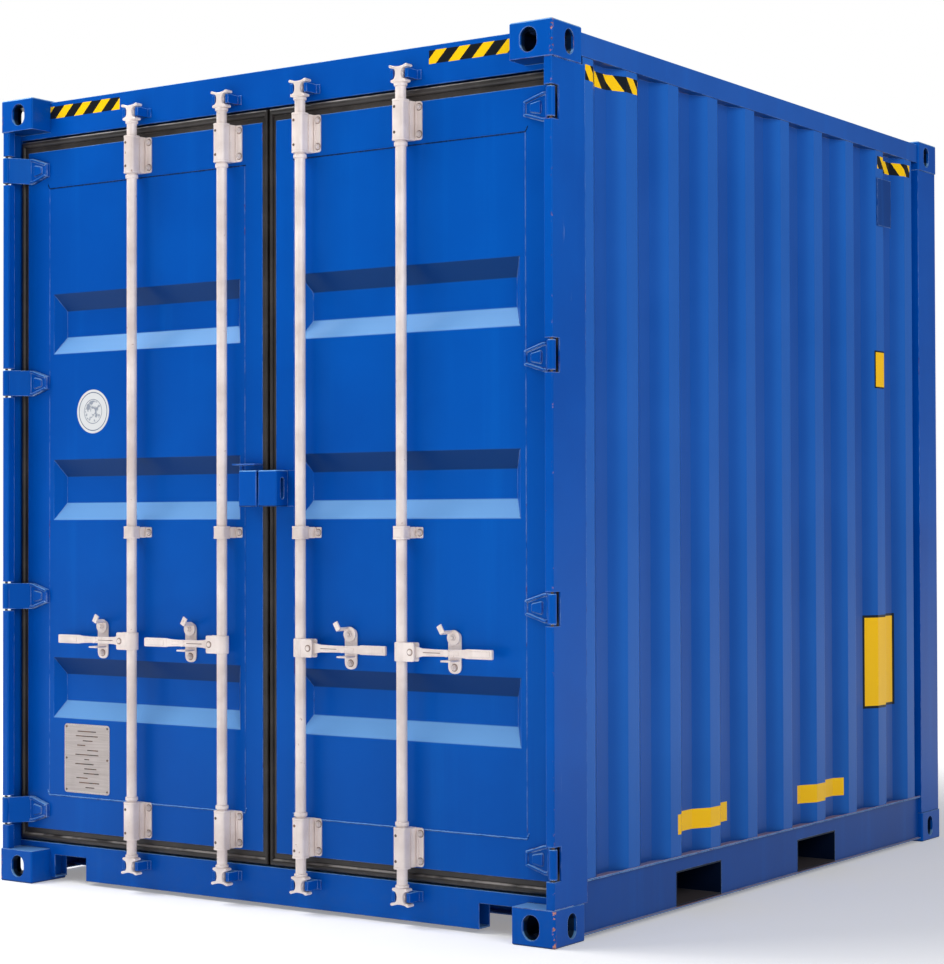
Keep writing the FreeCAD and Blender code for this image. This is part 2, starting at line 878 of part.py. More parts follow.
def cross_member(number, y_start):
    """A channel across the base, open towards the doors."""
    name = "cross_member_%d" % number
    reach = rail_face - bottom_rail_web_inset - rail_plate
    x_span = (-reach, reach)
    y_span = (y_start, y_start + cross_member_width)
    solid = block(name + "_bar", x_span, y_span, (member_bottom, member_top))
    groove = block(
        name + "_groove",
        (x_span[0] - 1, x_span[1] + 1),
        (y_start - 1, y_start + cross_member_width - cross_member_plate),
        (member_bottom + cross_member_plate, member_top - cross_member_plate),
    )
    return cut(name, solid, groove)


def between(start, end, count):
    """The near edges of some cross members spread evenly inside a bay."""
    gap = (end - start - cross_member_width * count) / (count + 1)
    return [start + gap * (k + 1) + cross_member_width * k for k in range(count)]


pocket_edges = [centre - pocket_width / 2 for centre in pocket_centres]
pocket_ends = [centre + pocket_width / 2 for centre in pocket_centres]
member_places = between(beam_back, pocket_edges[0], 2)
member_places += between(pocket_ends[0], pocket_edges[1], 2)
member_places += between(pocket_ends[1], back_beam_front, 3)
members = [cross_member(number, spot) for number, spot in enumerate(member_places)]
sub_part("cross_members", group("cross_members", members))

pockets = []
for number, centre in enumerate(pocket_centres):
    y_span = (centre - pocket_width / 2, centre + pocket_width / 2)
    inner_y = (y_span[0] + pocket_plate, y_span[1] - pocket_plate)
    web_inner = rail_face - bottom_rail_web_inset
    pocket = prism(
        "fork_pocket_%d" % number,
        "x",
        [
            rectangle(y_span, (pocket_low, pocket_high)),
            rectangle(inner_y, (pocket_low + pocket_plate, pocket_high - pocket_plate)),
        ],
        -web_inner,
        web_inner,
    )
    pockets.append(pocket)
sub_part("fork_pockets", group("fork_pockets", pockets))

# ---- vents --------------------------------------------------------------------------------------


def vent_cover(name, y_centre):
    """A shallow pressed hood on the outside of a wall, open underneath."""
    x_span = (wall_face, wall_face + vent_depth)
    y_span = (y_centre - vent_width / 2, y_centre + vent_width / 2)
    z_span = (vent_centre_height - vent_height / 2, vent_centre_height + vent_height / 2)
    shell = block(name + "_shell", x_span, y_span, z_span)
    space = block(
        name + "_space",
        (x_span[0] - 1, x_span[1] - wall_sheet),
        (y_span[0] + wall_sheet, y_span[1] - wall_sheet),
        (z_span[0] - 1, z_span[1] - wall_sheet),
    )
    return cut(name, shell, space)


right_vent = vent_cover("right_vent", back_post_front - vent_from_post)
left_vent = mirror("left_vent", mirror("turned_vent", right_vent, (0, 1, 0)))
sub_part("vent_covers", group("vent_covers", [right_vent, left_vent]))

# ---- cam keepers --------------------------------------------------------------------------------


def cam_keeper(name, bar_x, cam_low):
    """A back plate on the beam with two lugs that stand between the flanges of the cam."""
    low = cam_low + cam_flange + running_gap
    high = cam_low + cam_height - cam_flange - running_gap
    plate = block(
        name + "_plate",
        (bar_x - keeper_half_width, bar_x + keeper_half_width),
        (face - keeper_plate, face),
        (low, high),
    )
    lugs = []
    for sign in (-1, 1):
        near = bar_x + keeper_lug_start * sign
        far = bar_x + keeper_lug_end * sign
        span = (near, far) if sign > 0 else (far, near)
        lug_y = (bar_y - cam_end_radius / 2, face - keeper_plate)
        lugs.append(block(name + "_lug", span, lug_y, (low, high)))
    return fuse(name, [plate] + lugs)


keepers = []
for bar_name, bar_x in bars.items():
    for level, cam_low in (("low", bar_bottom), ("high", bar_top - cam_height)):
        keeper = cam_keeper("%s_%s_keeper" % (bar_name, level), bar_x, cam_low)
        keepers += [keeper, mirror(keeper.Name + "_left", keeper)]
sub_part("cam_keepers", group("cam_keepers", keepers))

# ---- door leaves --------------------------------------------------------------------------------

panel_x = (leaf_inner_edge + inner_stile, leaf_outer_edge - outer_stile)
panel_z = (leaf_bottom + bottom_rail_depth, panel_top)


def leaf_frame():
    """Stiles and rails welded into a ring, each a channel open to the inside."""
    x_span = (leaf_inner_edge, leaf_outer_edge)
    z_span = (leaf_bottom, leaf_top)
    ring = prism("leaf_ring", "y", [rectangle(x_span, z_span), rectangle(panel_x, panel_z)], face, leaf_back)
    groove = prism(
        "leaf_groove",
        "y",
        [
            rectangle(
                (x_span[0] + leaf_plate, x_span[1] - leaf_plate),
                (z_span[0] + leaf_plate, z_span[1] - leaf_plate),
            ),
            rectangle(
                (panel_x[0] - leaf_plate, panel_x[1] + leaf_plate),
                (panel_z[0] - leaf_plate, panel_z[1] + leaf_plate),
            ),
        ],
        face + leaf_plate,
        leaf_back + 1,
    )
    return cut("leaf_frame", ring, groove)


def tray(name, centre, grow, depth):
    """A truncated pyramid that sinks into the panel from its face."""
    wedge = add("Part::Wedge", name)
    near_x = (panel_x[0] + tray_margin - grow, panel_x[1] - tray_margin + grow)
    near_z = (centre - tray_height / 2 - grow, centre + tray_height / 2 + grow)
    spans = {
        "X": near_x,
        "Y": (as_size(0), depth),
        "Z": near_z,
        "X2": (near_x[0] + tray_end_slope, near_x[1] - tray_end_slope),
        "Z2": (near_z[0] + tray_slope, near_z[1] - tray_slope),
    }
    for letter, span in spans.items():
        bind(wedge, letter + "min", span[0])
        bind(wedge, letter + "max", span[1])
    return place(wedge, as_size(0), face, as_size(0))


def leaf_panel():
    """A sheet set in the frame, with three pressed trays that run across it."""
    sheet_face = block("panel_sheet", panel_x, (face, face + panel_sheet), panel_z)
    outer = [tray("tray_back", centre, panel_sheet, tray_depth + panel_sheet) for centre in tray_centres]
    inner = [tray("tray_front", centre, as_size(0), tray_depth) for centre in tray_centres]
    return cut("leaf_panel", fuse("panel_body", [sheet_face] + outer), *inner)


def leaf_gasket():
    """A rubber strip round the leaf's edge, which closes on the stops behind it."""
    y_span = (face + gasket_setback, face + gasket_setback + gasket_depth)
    outer = rectangle(
        (meeting_gap, gasket_outer_edge),
        (sill_top + running_gap, header_underside - running_gap),
    )
    inner = rectangle((leaf_inner_edge, leaf_outer_edge), (leaf_bottom, leaf_top))
    return prism("leaf_gasket", "y", [outer, inner], *y_span)


def hinge_blade(number, height):
    """A forged strap: a barrel on the pin, a slanted neck and a pad that tapers across the stile."""
    name = "hinge_blade_%d" % number
    reach = face_recess - pin_inset
    steps = [
        (barrel_radius * -0.95, barrel_radius * -0.3),
        (as_size(-28), as_size(16)),
        (as_size(-61), reach - blade_plate),
        (-blade_reach, reach - blade_plate),
        (-blade_reach, reach),
        (as_size(-54), reach),
        (as_size(-18), as_size(23)),
        (as_size(0), barrel_radius),
    ]
    section = [(pin_x + u, pin_y + v) for u, v in steps]
    half = blade_height / 2
    strap = prism(name + "_strap", "z", [section], height - half, height + half)
    tip_x = pin_x - blade_reach
    neck_x = pin_x - blade_reach / 2
    shape = prism(
        name + "_shape",
        "y",
        [
            [
                (side, height - half),
                (side, height + half),
                (neck_x, height + half),
                (tip_x, height + blade_tip_height / 2),
                (tip_x, height - blade_tip_height / 2),
                (neck_x, height - half),
            ]
        ],
        front,
        face,
    )
    barrel = rod(name + "_barrel", "z", barrel_radius, (pin_x, pin_y, height - half), blade_height)
    bore = rod(
        name + "_bore", "z", pin_radius + pin_clearance,
        (pin_x, pin_y, height - half - 1), blade_height + 2,
    )
    return cut(name, fuse(name + "_body", [common(name + "_pad", strap, shape), barrel]), bore)


def bar_bracket(name, bar_x, centre, height):
    """A plate on the leaf with a housing that the bar turns in."""
    z_span = (centre - height / 2, centre + height / 2)
    plate = block(
        name + "_plate",
        (bar_x - bracket_half_width, bar_x + bracket_half_width),
        (face - bracket_plate, face),
        z_span,
    )
    saddle = block(
        name + "_saddle", (bar_x - housing_radius, bar_x + housing_radius), (bar_y, face), z_span
    )
    hood = rod(name + "_hood", "z", housing_radius, (bar_x, bar_y, z_span[0]), height)
    bore = rod(name + "_bore", "z", bar_radius + bar_slack, (bar_x, bar_y, z_span[0] - 1), height + 2)
    return cut(name, fuse(name + "_body", [plate, saddle, hood]), bore)


def handle_rest(name, bar_x):
    """A round-ended plate on the leaf with a ledge that carries the handle and the catch's bolt."""
    centre_x = bar_x + catch_place
    pivot_z = handle_centre + catch_pivot_above
    low = handle_centre - catch_height / 2 + catch_width / 2
    high = handle_centre + catch_height / 2 - catch_width / 2
    y_span = (face - catch_plate, face)
    half = catch_width / 2
    plate = block(name + "_plate", (centre_x - half, centre_x + half), y_span, (low, high))
    ends = [
        rod(name + "_round", "y", half, (centre_x, y_span[0], level), catch_plate)
        for level in (low, high)
    ]
    ledge_top = handle_centre - handle_height / 2 - running_gap
    ledge = block(
        name + "_ledge",
        (centre_x - half + catch_plate, centre_x + half - catch_plate),
        (handle_front - catch_plate, face - catch_plate),
        (ledge_top - catch_plate, ledge_top),
    )
    bolt_start = face - catch_plate - catch_disc_gap * 2 - catch_plate * 2
    bolt = rod(
        name + "_bolt", "y", catch_bolt_radius,
        (centre_x, bolt_start, pivot_z), face - catch_plate - bolt_start,
    )
    head = rod(name + "_head", "y", catch_head_radius, (centre_x, bolt_start, pivot_z), catch_plate)
    return fuse(name, [plate, ledge, bolt, head] + ends)


def lock_shroud(name, with_slot):
    """Half of the box that guards the padlock, open below and at the meeting edge."""
    x_span = (shroud_seam, shroud_half_width)
    y_span = (front + shroud_front_recess, face)
    z_span = (shroud_bottom, shroud_top)
    shell = block(name + "_shell", x_span, y_span, z_span)
    space = block(
        name + "_space",
        (x_span[0] - 1, x_span[1] - shroud_plate),
        (y_span[0] + shroud_plate, y_span[1] + 1),
        (z_span[0] - 1, z_span[1] - shroud_plate),
    )
    seam_room = block(
        name + "_seam_room",
        (x_span[0] - 1, meeting_gap),
        (y_span[0] + shroud_plate, y_span[1] + 1),
        (z_span[0] - 1, z_span[1] + 1),
    )
    box = cut(name + "_box", shell, space, seam_room)
    if with_slot:
        slot = oblong(
            name + "_slot", "x", shroud_plate * 4, (z_span[1] - z_span[0]) * 0.6,
            (x_span[1] - shroud_plate - 1, (y_span[0] + y_span[1]) / 2, (z_span[0] + z_span[1]) / 2),
            shroud_plate + 2, "z",
        )
        box = cut(name + "_slotted", box, slot)
    flange = block(
        name + "_flange",
        (x_span[1], x_span[1] + shroud_flange),
        (face - shroud_plate, face),
        z_span,
    )
    return fuse(name, [box, flange])


def leaf_hood(name):
    """A bent ledge on the left leaf that keeps rain off the padlock's staple."""
    ledge = block(
        name + "_ledge",
        (leaf_inner_edge, hood_half_width),
        (face - face_recess / 2, face),
        (hood_height - shroud_plate, hood_height),
    )
    back_plate = block(
        name + "_back",
        (shroud_half_width + shroud_flange, hood_half_width),
        (face - shroud_plate, face),
        (shroud_bottom, hood_height - shroud_plate),
    )
    return fuse(name, [ledge, back_plate])


frame_right = leaf_frame()
panel_right = leaf_panel()
gasket_right = leaf_gasket()
blades = [hinge_blade(number, height) for number, height in enumerate(hinge_heights)]
brackets = []
rests = []
for bar_name, bar_x in bars.items():
    for level, centre, height in (
        ("low", bracket_low_centre, bracket_height),
        ("high", bracket_high_centre, bracket_height),
        ("guide", guide_centre, guide_height),
    ):
        brackets.append(bar_bracket("%s_%s_bracket" % (bar_name, level), bar_x, centre, height))
    rests.append(handle_rest("%s_rest" % bar_name, bar_x))

right_pieces = {
    "door_frame": frame_right,
    "door_panel": panel_right,
    "door_gasket": gasket_right,
    "hinge_blades": group("right_blades", blades),
    "bar_brackets": group("right_brackets", brackets),
    "handle_rests": group("right_rests", rests),
}
for piece_name, piece in right_pieces.items():
    sub_part("right_" + piece_name, piece)
    sub_part("left_" + piece_name, mirror("left_" + piece_name + "_copy", piece))
sub_part("right_lock_shroud", lock_shroud("right_shroud", True))
left_shroud = fuse("shroud_and_hood", [lock_shroud("left_shroud", False), leaf_hood("left_hood")])
sub_part("left_lock_shroud", mirror("left_shroud_copy", left_shroud))

data_plate = block(
    "data_plate",
    (-plate_place - plate_width / 2, -plate_place + plate_width / 2),
    (face - plate_thickness, face),
    (plate_centre_height - plate_height / 2, plate_centre_height + plate_height / 2),
)
sub_part("data_plate", data_plate)

# ---- locking bars, handles and catches ----------------------------------------------------------


def cam(name, bar_x, low):
    """A spool on the bar's end: two flanges with a waist between them."""
    flanges = []
    for level in (low, low + cam_height - cam_flange):
        flanges.append(
            oblong(
                name + "_flange", "z", cam_end_radius * 2, cam_half_length * 2,
                (bar_x, bar_y, level), cam_flange, "x",
            )
        )
    waist = rod(name + "_waist", "z", cam_web_radius, (bar_x, bar_y, low), cam_height)
    return fuse(name, flanges + [waist])


def hub_block(name, bar_x):
    """A sleeve on the bar with a fork that holds the handle's heel."""
    z_span = (handle_centre - hub_height / 2, handle_centre + hub_height / 2)
    fork_y = (handle_front - running_gap - hub_plate, handle_back + running_gap + hub_plate)
    sleeve = rod(name + "_sleeve", "z", housing_radius, (bar_x, bar_y, z_span[0]), hub_height)
    fork = block(name + "_fork", (bar_x, bar_x + hub_reach), fork_y, z_span)
    slot = block(
        name + "_slot",
        (bar_x + housing_radius, bar_x + hub_reach + 1),
        (handle_front - running_gap, handle_back + running_gap),
        (z_span[0] - 1, z_span[1] + 1),
    )
    bolt = rod(
        name + "_bolt", "y", hub_bolt_radius,
        (bar_x + hub_bolt_place, fork_y[0], handle_centre), fork_y[1] - fork_y[0],
    )
    return fuse(name, [sleeve, cut(name + "_open_fork", fork, slot), bolt])


def locking_bar(name, bar_x):
    """A tube that runs from cam to cam, with collars beside the brackets and a handle hub."""
    low = bar_bottom + cam_height
    high = bar_top - cam_height
    tube = rod(name + "_tube", "z", bar_radius, (bar_x, bar_y, low), high - low)
    low_collar_z = bracket_low_centre + bracket_height / 2 + running_gap
    high_collar_z = bracket_high_centre - bracket_height / 2 - running_gap - collar_height
    low_collar = rod(name + "_low_collar", "z", collar_radius, (bar_x, bar_y, low_collar_z), collar_height)
    high_place = (bar_x, bar_y, high_collar_z)
    high_collar = rod(name + "_high_collar", "z", collar_radius, high_place, collar_height)
    solid = fuse(
        name + "_body",
        [tube, low_collar, high_collar, hub_block(name + "_hub", bar_x)],
    )
    bore = rod(
        name + "_bore", "z", bar_radius - bar_wall, (bar_x, bar_y, low - 1), high - low + 2
    )
    return cut(name, solid, bore)


def cam_pair(name, bar_x):
    """The two cams welded on a bar's ends."""
    low_cam = cam(name + "_low", bar_x, bar_bottom)
    high_cam = cam(name + "_high", bar_x, bar_top - cam_height)
    return group(name, [low_cam, high_cam])


def handle(name, bar_x):
    """A flat bar that swings up about the hub's bolt, with a thicker grip at its free end."""
    pivot_x = bar_x + hub_bolt_place
    tip_x = bar_x + handle_length
    heel_radius = handle_height / 2
    heel = rod(name + "_heel", "y", heel_radius, (pivot_x, handle_front, handle_centre), handle_thickness)
    shank = block(
        name + "_shank",
        (pivot_x, tip_x - grip_length),
        (handle_front, handle_back),
        (handle_centre - handle_height / 2, handle_centre + handle_height / 2),
    )
    grip = block(
        name + "_grip",
        (tip_x - grip_length, tip_x),
        (bar_y - grip_thickness / 2, bar_y + grip_thickness / 2),
        (handle_centre - grip_height / 2, handle_centre + grip_height / 2),
    )
    bore = rod(
        name + "_bore", "y", hub_bolt_radius + pin_clearance,
        (pivot_x, handle_front - 1, handle_centre), handle_thickness + 2,
    )
    return cut(name, fuse(name + "_body", [heel, shank, grip]), bore)


def catch(name, bar_x, sign):
    """A disc on the rest's upper bolt with a tongue that hooks down in front of the handle.
    It is drawn hanging over the handle, then turned up about the bolt to where it is parked."""
    pivot_x = (bar_x + catch_place) * sign
    pivot_z = handle_centre + catch_pivot_above
    disc_front = -catch_plate
    tongue_front = handle_front - running_gap - tongue_thickness
    disc_back_y = face - catch_plate - catch_disc_gap
    reach = disc_back_y - tongue_front
    disc = rod(name + "_disc", "y", catch_disc_radius, (as_size(0), disc_front, as_size(0)), catch_plate)
    half = tongue_width / 2
    crossing_low = handle_height / 2 + catch_swing_gap - catch_pivot_above
    crossing = block(
        name + "_crossing",
        (-half, half),
        (-reach, as_size(0)),
        (crossing_low, crossing_low + tongue_thickness),
    )
    nose = block(
        name + "_nose",
        (-half, half),
        (-reach, -reach + tongue_thickness),
        (crossing_low - tongue_drop, crossing_low + tongue_thickness),
    )
    bore = rod(
        name + "_bore", "y", catch_bolt_radius + pin_clearance,
        (as_size(0), disc_front - 1, as_size(0)), catch_plate + 2,
    )
    shape = cut(name, fuse(name + "_body", [disc, crossing, nose]), bore)
    shape.Placement = FreeCAD.Placement(FreeCAD.Vector(), FreeCAD.Rotation(FreeCAD.Vector(0, sign, 0), 0))
    bind(shape, "Placement.Rotation.Angle", catch_parked_angle)
    return place(shape, pivot_x, disc_back_y, pivot_z)


for bar_name, bar_x in bars.items():
    bar = locking_bar(bar_name + "_bar", bar_x)
    cams = cam_pair(bar_name + "_cams", bar_x)
    arm = handle(bar_name + "_handle", bar_x)
    sub_part("right_%s_bar" % bar_name, bar)
    sub_part("left_%s_bar" % bar_name, mirror("left_%s_bar_copy" % bar_name, bar))
    sub_part("right_%s_cams" % bar_name, cams)
    sub_part("left_%s_cams" % bar_name, mirror("left_%s_cams_copy" % bar_name, cams))
    sub_part("right_%s_handle" % bar_name, arm)
    sub_part("left_%s_handle" % bar_name, mirror("left_%s_handle_copy" % bar_name, arm))
    sub_part("right_%s_catch" % bar_name, catch("right_%s_catch_part" % bar_name, bar_x, 1))
    sub_part("left_%s_catch" % bar_name, catch("left_%s_catch_part" % bar_name, bar_x, -1))

# ---- check and write ----------------------------------------------------------------------------

doc.recompute()
for thing in doc.Objects:
    if "Invalid" in thing.State or "Error" in thing.State:
        raise RuntimeError("%s failed: %s" % (thing.Label, thing.State))
for node in nodes:
    if node.Shape.isNull() or not node.Shape.isValid():
        raise RuntimeError("%s has no valid shape" % node.Label)

os.makedirs("parts", exist_ok=True)
for node in nodes:
    node.Shape.exportStep("parts/%s.step" % node.Label)
    print("%-24s solids %2d  volume %12.0f mm3" % (node.Label, len(node.Shape.Solids), node.Shape.Volume))
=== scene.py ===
import json
import math

import bmesh
import bpy
from mathutils import Matrix, Vector


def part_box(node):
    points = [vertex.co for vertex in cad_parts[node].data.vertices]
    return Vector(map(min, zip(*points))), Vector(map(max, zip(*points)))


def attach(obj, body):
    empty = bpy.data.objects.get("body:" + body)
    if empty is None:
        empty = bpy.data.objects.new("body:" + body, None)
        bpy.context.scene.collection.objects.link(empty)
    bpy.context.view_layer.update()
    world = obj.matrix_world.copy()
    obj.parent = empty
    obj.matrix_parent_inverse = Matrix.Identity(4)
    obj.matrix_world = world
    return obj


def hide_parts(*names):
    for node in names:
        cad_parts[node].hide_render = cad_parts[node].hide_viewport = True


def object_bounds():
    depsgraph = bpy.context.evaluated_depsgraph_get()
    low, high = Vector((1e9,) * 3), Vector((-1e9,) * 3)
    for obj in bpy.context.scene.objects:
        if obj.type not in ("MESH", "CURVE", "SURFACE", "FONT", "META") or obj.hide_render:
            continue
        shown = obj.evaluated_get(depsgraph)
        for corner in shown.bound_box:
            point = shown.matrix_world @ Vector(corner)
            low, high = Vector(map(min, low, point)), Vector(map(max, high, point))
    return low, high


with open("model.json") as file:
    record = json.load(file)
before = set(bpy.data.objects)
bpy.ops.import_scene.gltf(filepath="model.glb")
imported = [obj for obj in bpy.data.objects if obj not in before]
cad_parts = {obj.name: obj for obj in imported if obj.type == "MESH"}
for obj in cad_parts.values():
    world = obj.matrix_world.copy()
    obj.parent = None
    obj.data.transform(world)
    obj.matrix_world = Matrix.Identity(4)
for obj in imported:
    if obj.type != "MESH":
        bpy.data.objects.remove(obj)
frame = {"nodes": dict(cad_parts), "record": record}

cad_low, cad_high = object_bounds()

# ---- sizes read from the frame ------------------------------------------------------------------

MM = 0.001
FRONT = cad_low.y
BACK = cad_high.y
SIDE = cad_high.x
TOP = cad_high.z
CASTING_WIDTH = 0.162
CASTING_LENGTH = 0.178
BODY_OF = {node: body for body, nodes in frame["record"]["behaviour"]["bodies"].items() for node in nodes}


def low(node):
    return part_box(node)[0]


def high(node):
    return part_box(node)[1]


FACE = low("right_door_frame").y
LEAF_LOW = low("right_door_frame").z
LEAF_HIGH = high("right_door_frame").z
WALL_FACE = high("right_side_wall").x
BAR_Y = (low("right_outer_cams").y + high("right_outer_cams").y) / 2
HANDLE_Z = (low("right_outer_handle").z + high("right_outer_handle").z) / 2
# from a bar's middle out to its handle's pivot and to its catch, then from the handle's line to a rest's bolt
HUB_REACH = 0.045
CATCH_REACH = 0.182
REST_BOLT = 0.0485
HINGES = [0.260 + 0.792 * step for step in range(4)]
HOUSING_HALF = 0.068
GUIDE_HALF = 0.022
BRACKETS = [(0.2595, HOUSING_HALF), (2.644, HOUSING_HALF), (1.289, GUIDE_HALF)]
SLOT_OF = {entry["node"]: entry["material_slot"] for entry in frame["record"]["subparts"]}
WHITE = (1.0, 1.0, 1.0)

# ---- shader maths -------------------------------------------------------------------------------


class Wire:
    """A shader output that can stand in sums. Each operator adds the Math node it names."""

    def __init__(self, maker, socket):
        self.maker = maker
        self.socket = socket

    def sum(self, operation, *values):
        return self.maker.node("ShaderNodeMath", {"operation": operation}, dict(enumerate(values)))

    def __add__(self, other):
        return self.sum("ADD", self, other)

    def __sub__(self, other):
        return self.sum("SUBTRACT", self, other)

    def __mul__(self, other):
        return self.sum("MULTIPLY", self, other)

    def __pow__(self, other):
        return self.sum("POWER", self, other)

    def __gt__(self, other):
        return self.sum("GREATER_THAN", self, other)

    def __radd__(self, other):
        return self.sum("ADD", other, self)

    def __rsub__(self, other):
        return self.sum("SUBTRACT", other, self)

    def __rmul__(self, other):
        return self.sum("MULTIPLY", other, self)

    def __neg__(self):
        return self.sum("MULTIPLY", self, -1.0)

    def part(self, whole):
        """What is left over after dividing by whole."""
        return self.sum("FLOORED_MODULO", self, whole)

    def size(self):
        return self.sum("ABSOLUTE", self)

    def least(self, other):
        return self.sum("MINIMUM", self, other)

    def clear(self, start, end):
        """0 below start, 1 above end, and even between."""
        settings = {"interpolation_type": "SMOOTHSTEP", "clamp": True}
        values = {"Value": self, "From Min": start, "From Max": end}
        return self.maker.node("ShaderNodeMapRange", settings, values)


class Making:
    """A tree being made up, with one method that adds any node."""

    def node(self, kind, settings=None, values=None, output=0):
        made = self.tree.nodes.new(kind)
        for key, value in (settings or {}).items():
            setattr(made, key, value)
        for key, value in (values or {}).items():
            if isinstance(value, Wire):
                self.tree.links.new(value.socket, made.inputs[key])
            else:
                made.inputs[key].default_value = value
        return Wire(self, made.outputs[output])


class Finish(Making):
    """A material being made up."""

    def __init__(self, name):
        self.material = bpy.data.materials.new(name)
        self.material.use_nodes = True
        self.tree = self.material.node_tree
        self.tree.nodes.clear()
        self.place = self.node("ShaderNodeTexCoord", output="Object")
        split = self.node("ShaderNodeSeparateXYZ", {}, {0: self.place})
        self.x = split
        self.y = Wire(self, split.socket.node.outputs["Y"])
        self.z = Wire(self, split.socket.node.outputs["Z"])

    def noise(self, scale, detail=3.0, rough=0.55, place=None, seed=0.0):
        settings = {"noise_dimensions": "4D"}
        values = {
            "Vector": place or self.place,
            "W": seed,
            "Scale": scale,
            "Detail": detail,
            "Roughness": rough,
        }
        return self.node("ShaderNodeTexNoise", settings, values)

    def stretched(self, x, y, z):
        return self.node("ShaderNodeMapping", {}, {"Vector": self.place, "Scale": (x, y, z)})

    def blend(self, amount, first, second):
        """A colour between first and second."""
        values = {0: amount, 6: self.colour(first), 7: self.colour(second)}
        return self.node("ShaderNodeMix", {"data_type": "RGBA"}, values, output=2)

    def colour(self, value):
        return value if isinstance(value, Wire) else (*value, 1.0)

    def edge(self, radius):
        """How far a rounded normal leans from the true one: large along edges and folds."""
        soft = self.node("ShaderNodeBevel", {"samples": 4}, {"Radius": radius})
        true = self.node("ShaderNodeNewGeometry", output="Normal")
        dot = self.node("ShaderNodeVectorMath", {"operation": "DOT_PRODUCT"}, {0: soft, 1: true}, output=1)
        return 1.0 - dot

    def within(self, value, start, end, soft=0.0006):
        return value.clear(start - soft, start + soft) * (1.0 - value.clear(end - soft, end + soft))

    def facing(self, axis):
        """How far the surface faces along an axis: for Z, 1 on level ground and -1 under a shelf."""
        ahead = self.node("ShaderNodeNewGeometry", output="Normal")
        return self.node("ShaderNodeSeparateXYZ", {}, {0: ahead}, output=axis)

    def surface(
        self, colour, roughness, metallic=0.0, bump=None, depth=0.001, strength=0.4,
        shine=0.5, tint=WHITE, glow=None,
    ):
        values = {
            "Base Color": self.colour(colour),
            "Roughness": roughness,
            "Metallic": metallic,
            "Specular IOR Level": shine,
            "Specular Tint": (*tint, 1.0),
        }
        if glow is not None:
            values["Emission Color"] = glow
            values["Emission Strength"] = 1.0
        if bump is not None:
            relief = {"Strength": strength, "Distance": depth, "Height": bump}
            values["Normal"] = self.node("ShaderNodeBump", {}, relief)
        shader = self.node("ShaderNodeBsdfPrincipled", {}, values)
        out = self.tree.nodes.new("ShaderNodeOutputMaterial")
        self.tree.links.new(shader.socket, out.inputs["Surface"])
        return self.material


# ---- finishes -----------------------------------------------------------------------------------

DOOR_BLUES = ((0.0, 0.066, 0.365), (0.0, 0.082, 0.425))
# the doors' paint given a tone of its own on the walls and rails, to match how the side is lit: painted light
WALL_LIT_BLUES = ((0.009, 0.078, 0.365), (0.014, 0.096, 0.42))
RAIL_BLUES = ((0.002, 0.048, 0.26), (0.003, 0.062, 0.32))
# darker blue for the vent covers: painted shade
VENT_SHADE_BLUES = ((0.0, 0.034, 0.19), (0.0, 0.044, 0.23))
FADED_BLUE = (0.002, 0.13, 0.56)
# painted highlight for faces that look up, and painted shade for faces that look down
UPWARD_HIGHLIGHT_BLUE = (0.17, 0.40, 0.76)
SHADE_BLUE = (0.0, 0.019, 0.105)
BLUE_SHEEN = (0.22, 0.62, 1.0)
PRIMER = (0.42, 0.17, 0.12)
RUST_DARK = (0.11, 0.030, 0.016)
RUST_PINK = (0.42, 0.26, 0.32)
CHIP_PINK = (0.55, 0.24, 0.18)
# pale blue along rubbed edges: partly wear, partly a painted highlight
EDGE_WEAR_HIGHLIGHT = (0.30, 0.44, 0.72)
SIGN_YELLOW = (0.93, 0.56, 0.002)
TAPE_YELLOW = (1.0, 0.57, 0.0)
# near black, for the painted shade inside hollows
HOLLOW_SHADE_BLACK = (0.003, 0.005, 0.010)
SIGN_BLACK = (0.010, 0.010, 0.011)
DECAL_WHITE = (0.66, 0.67, 0.68)


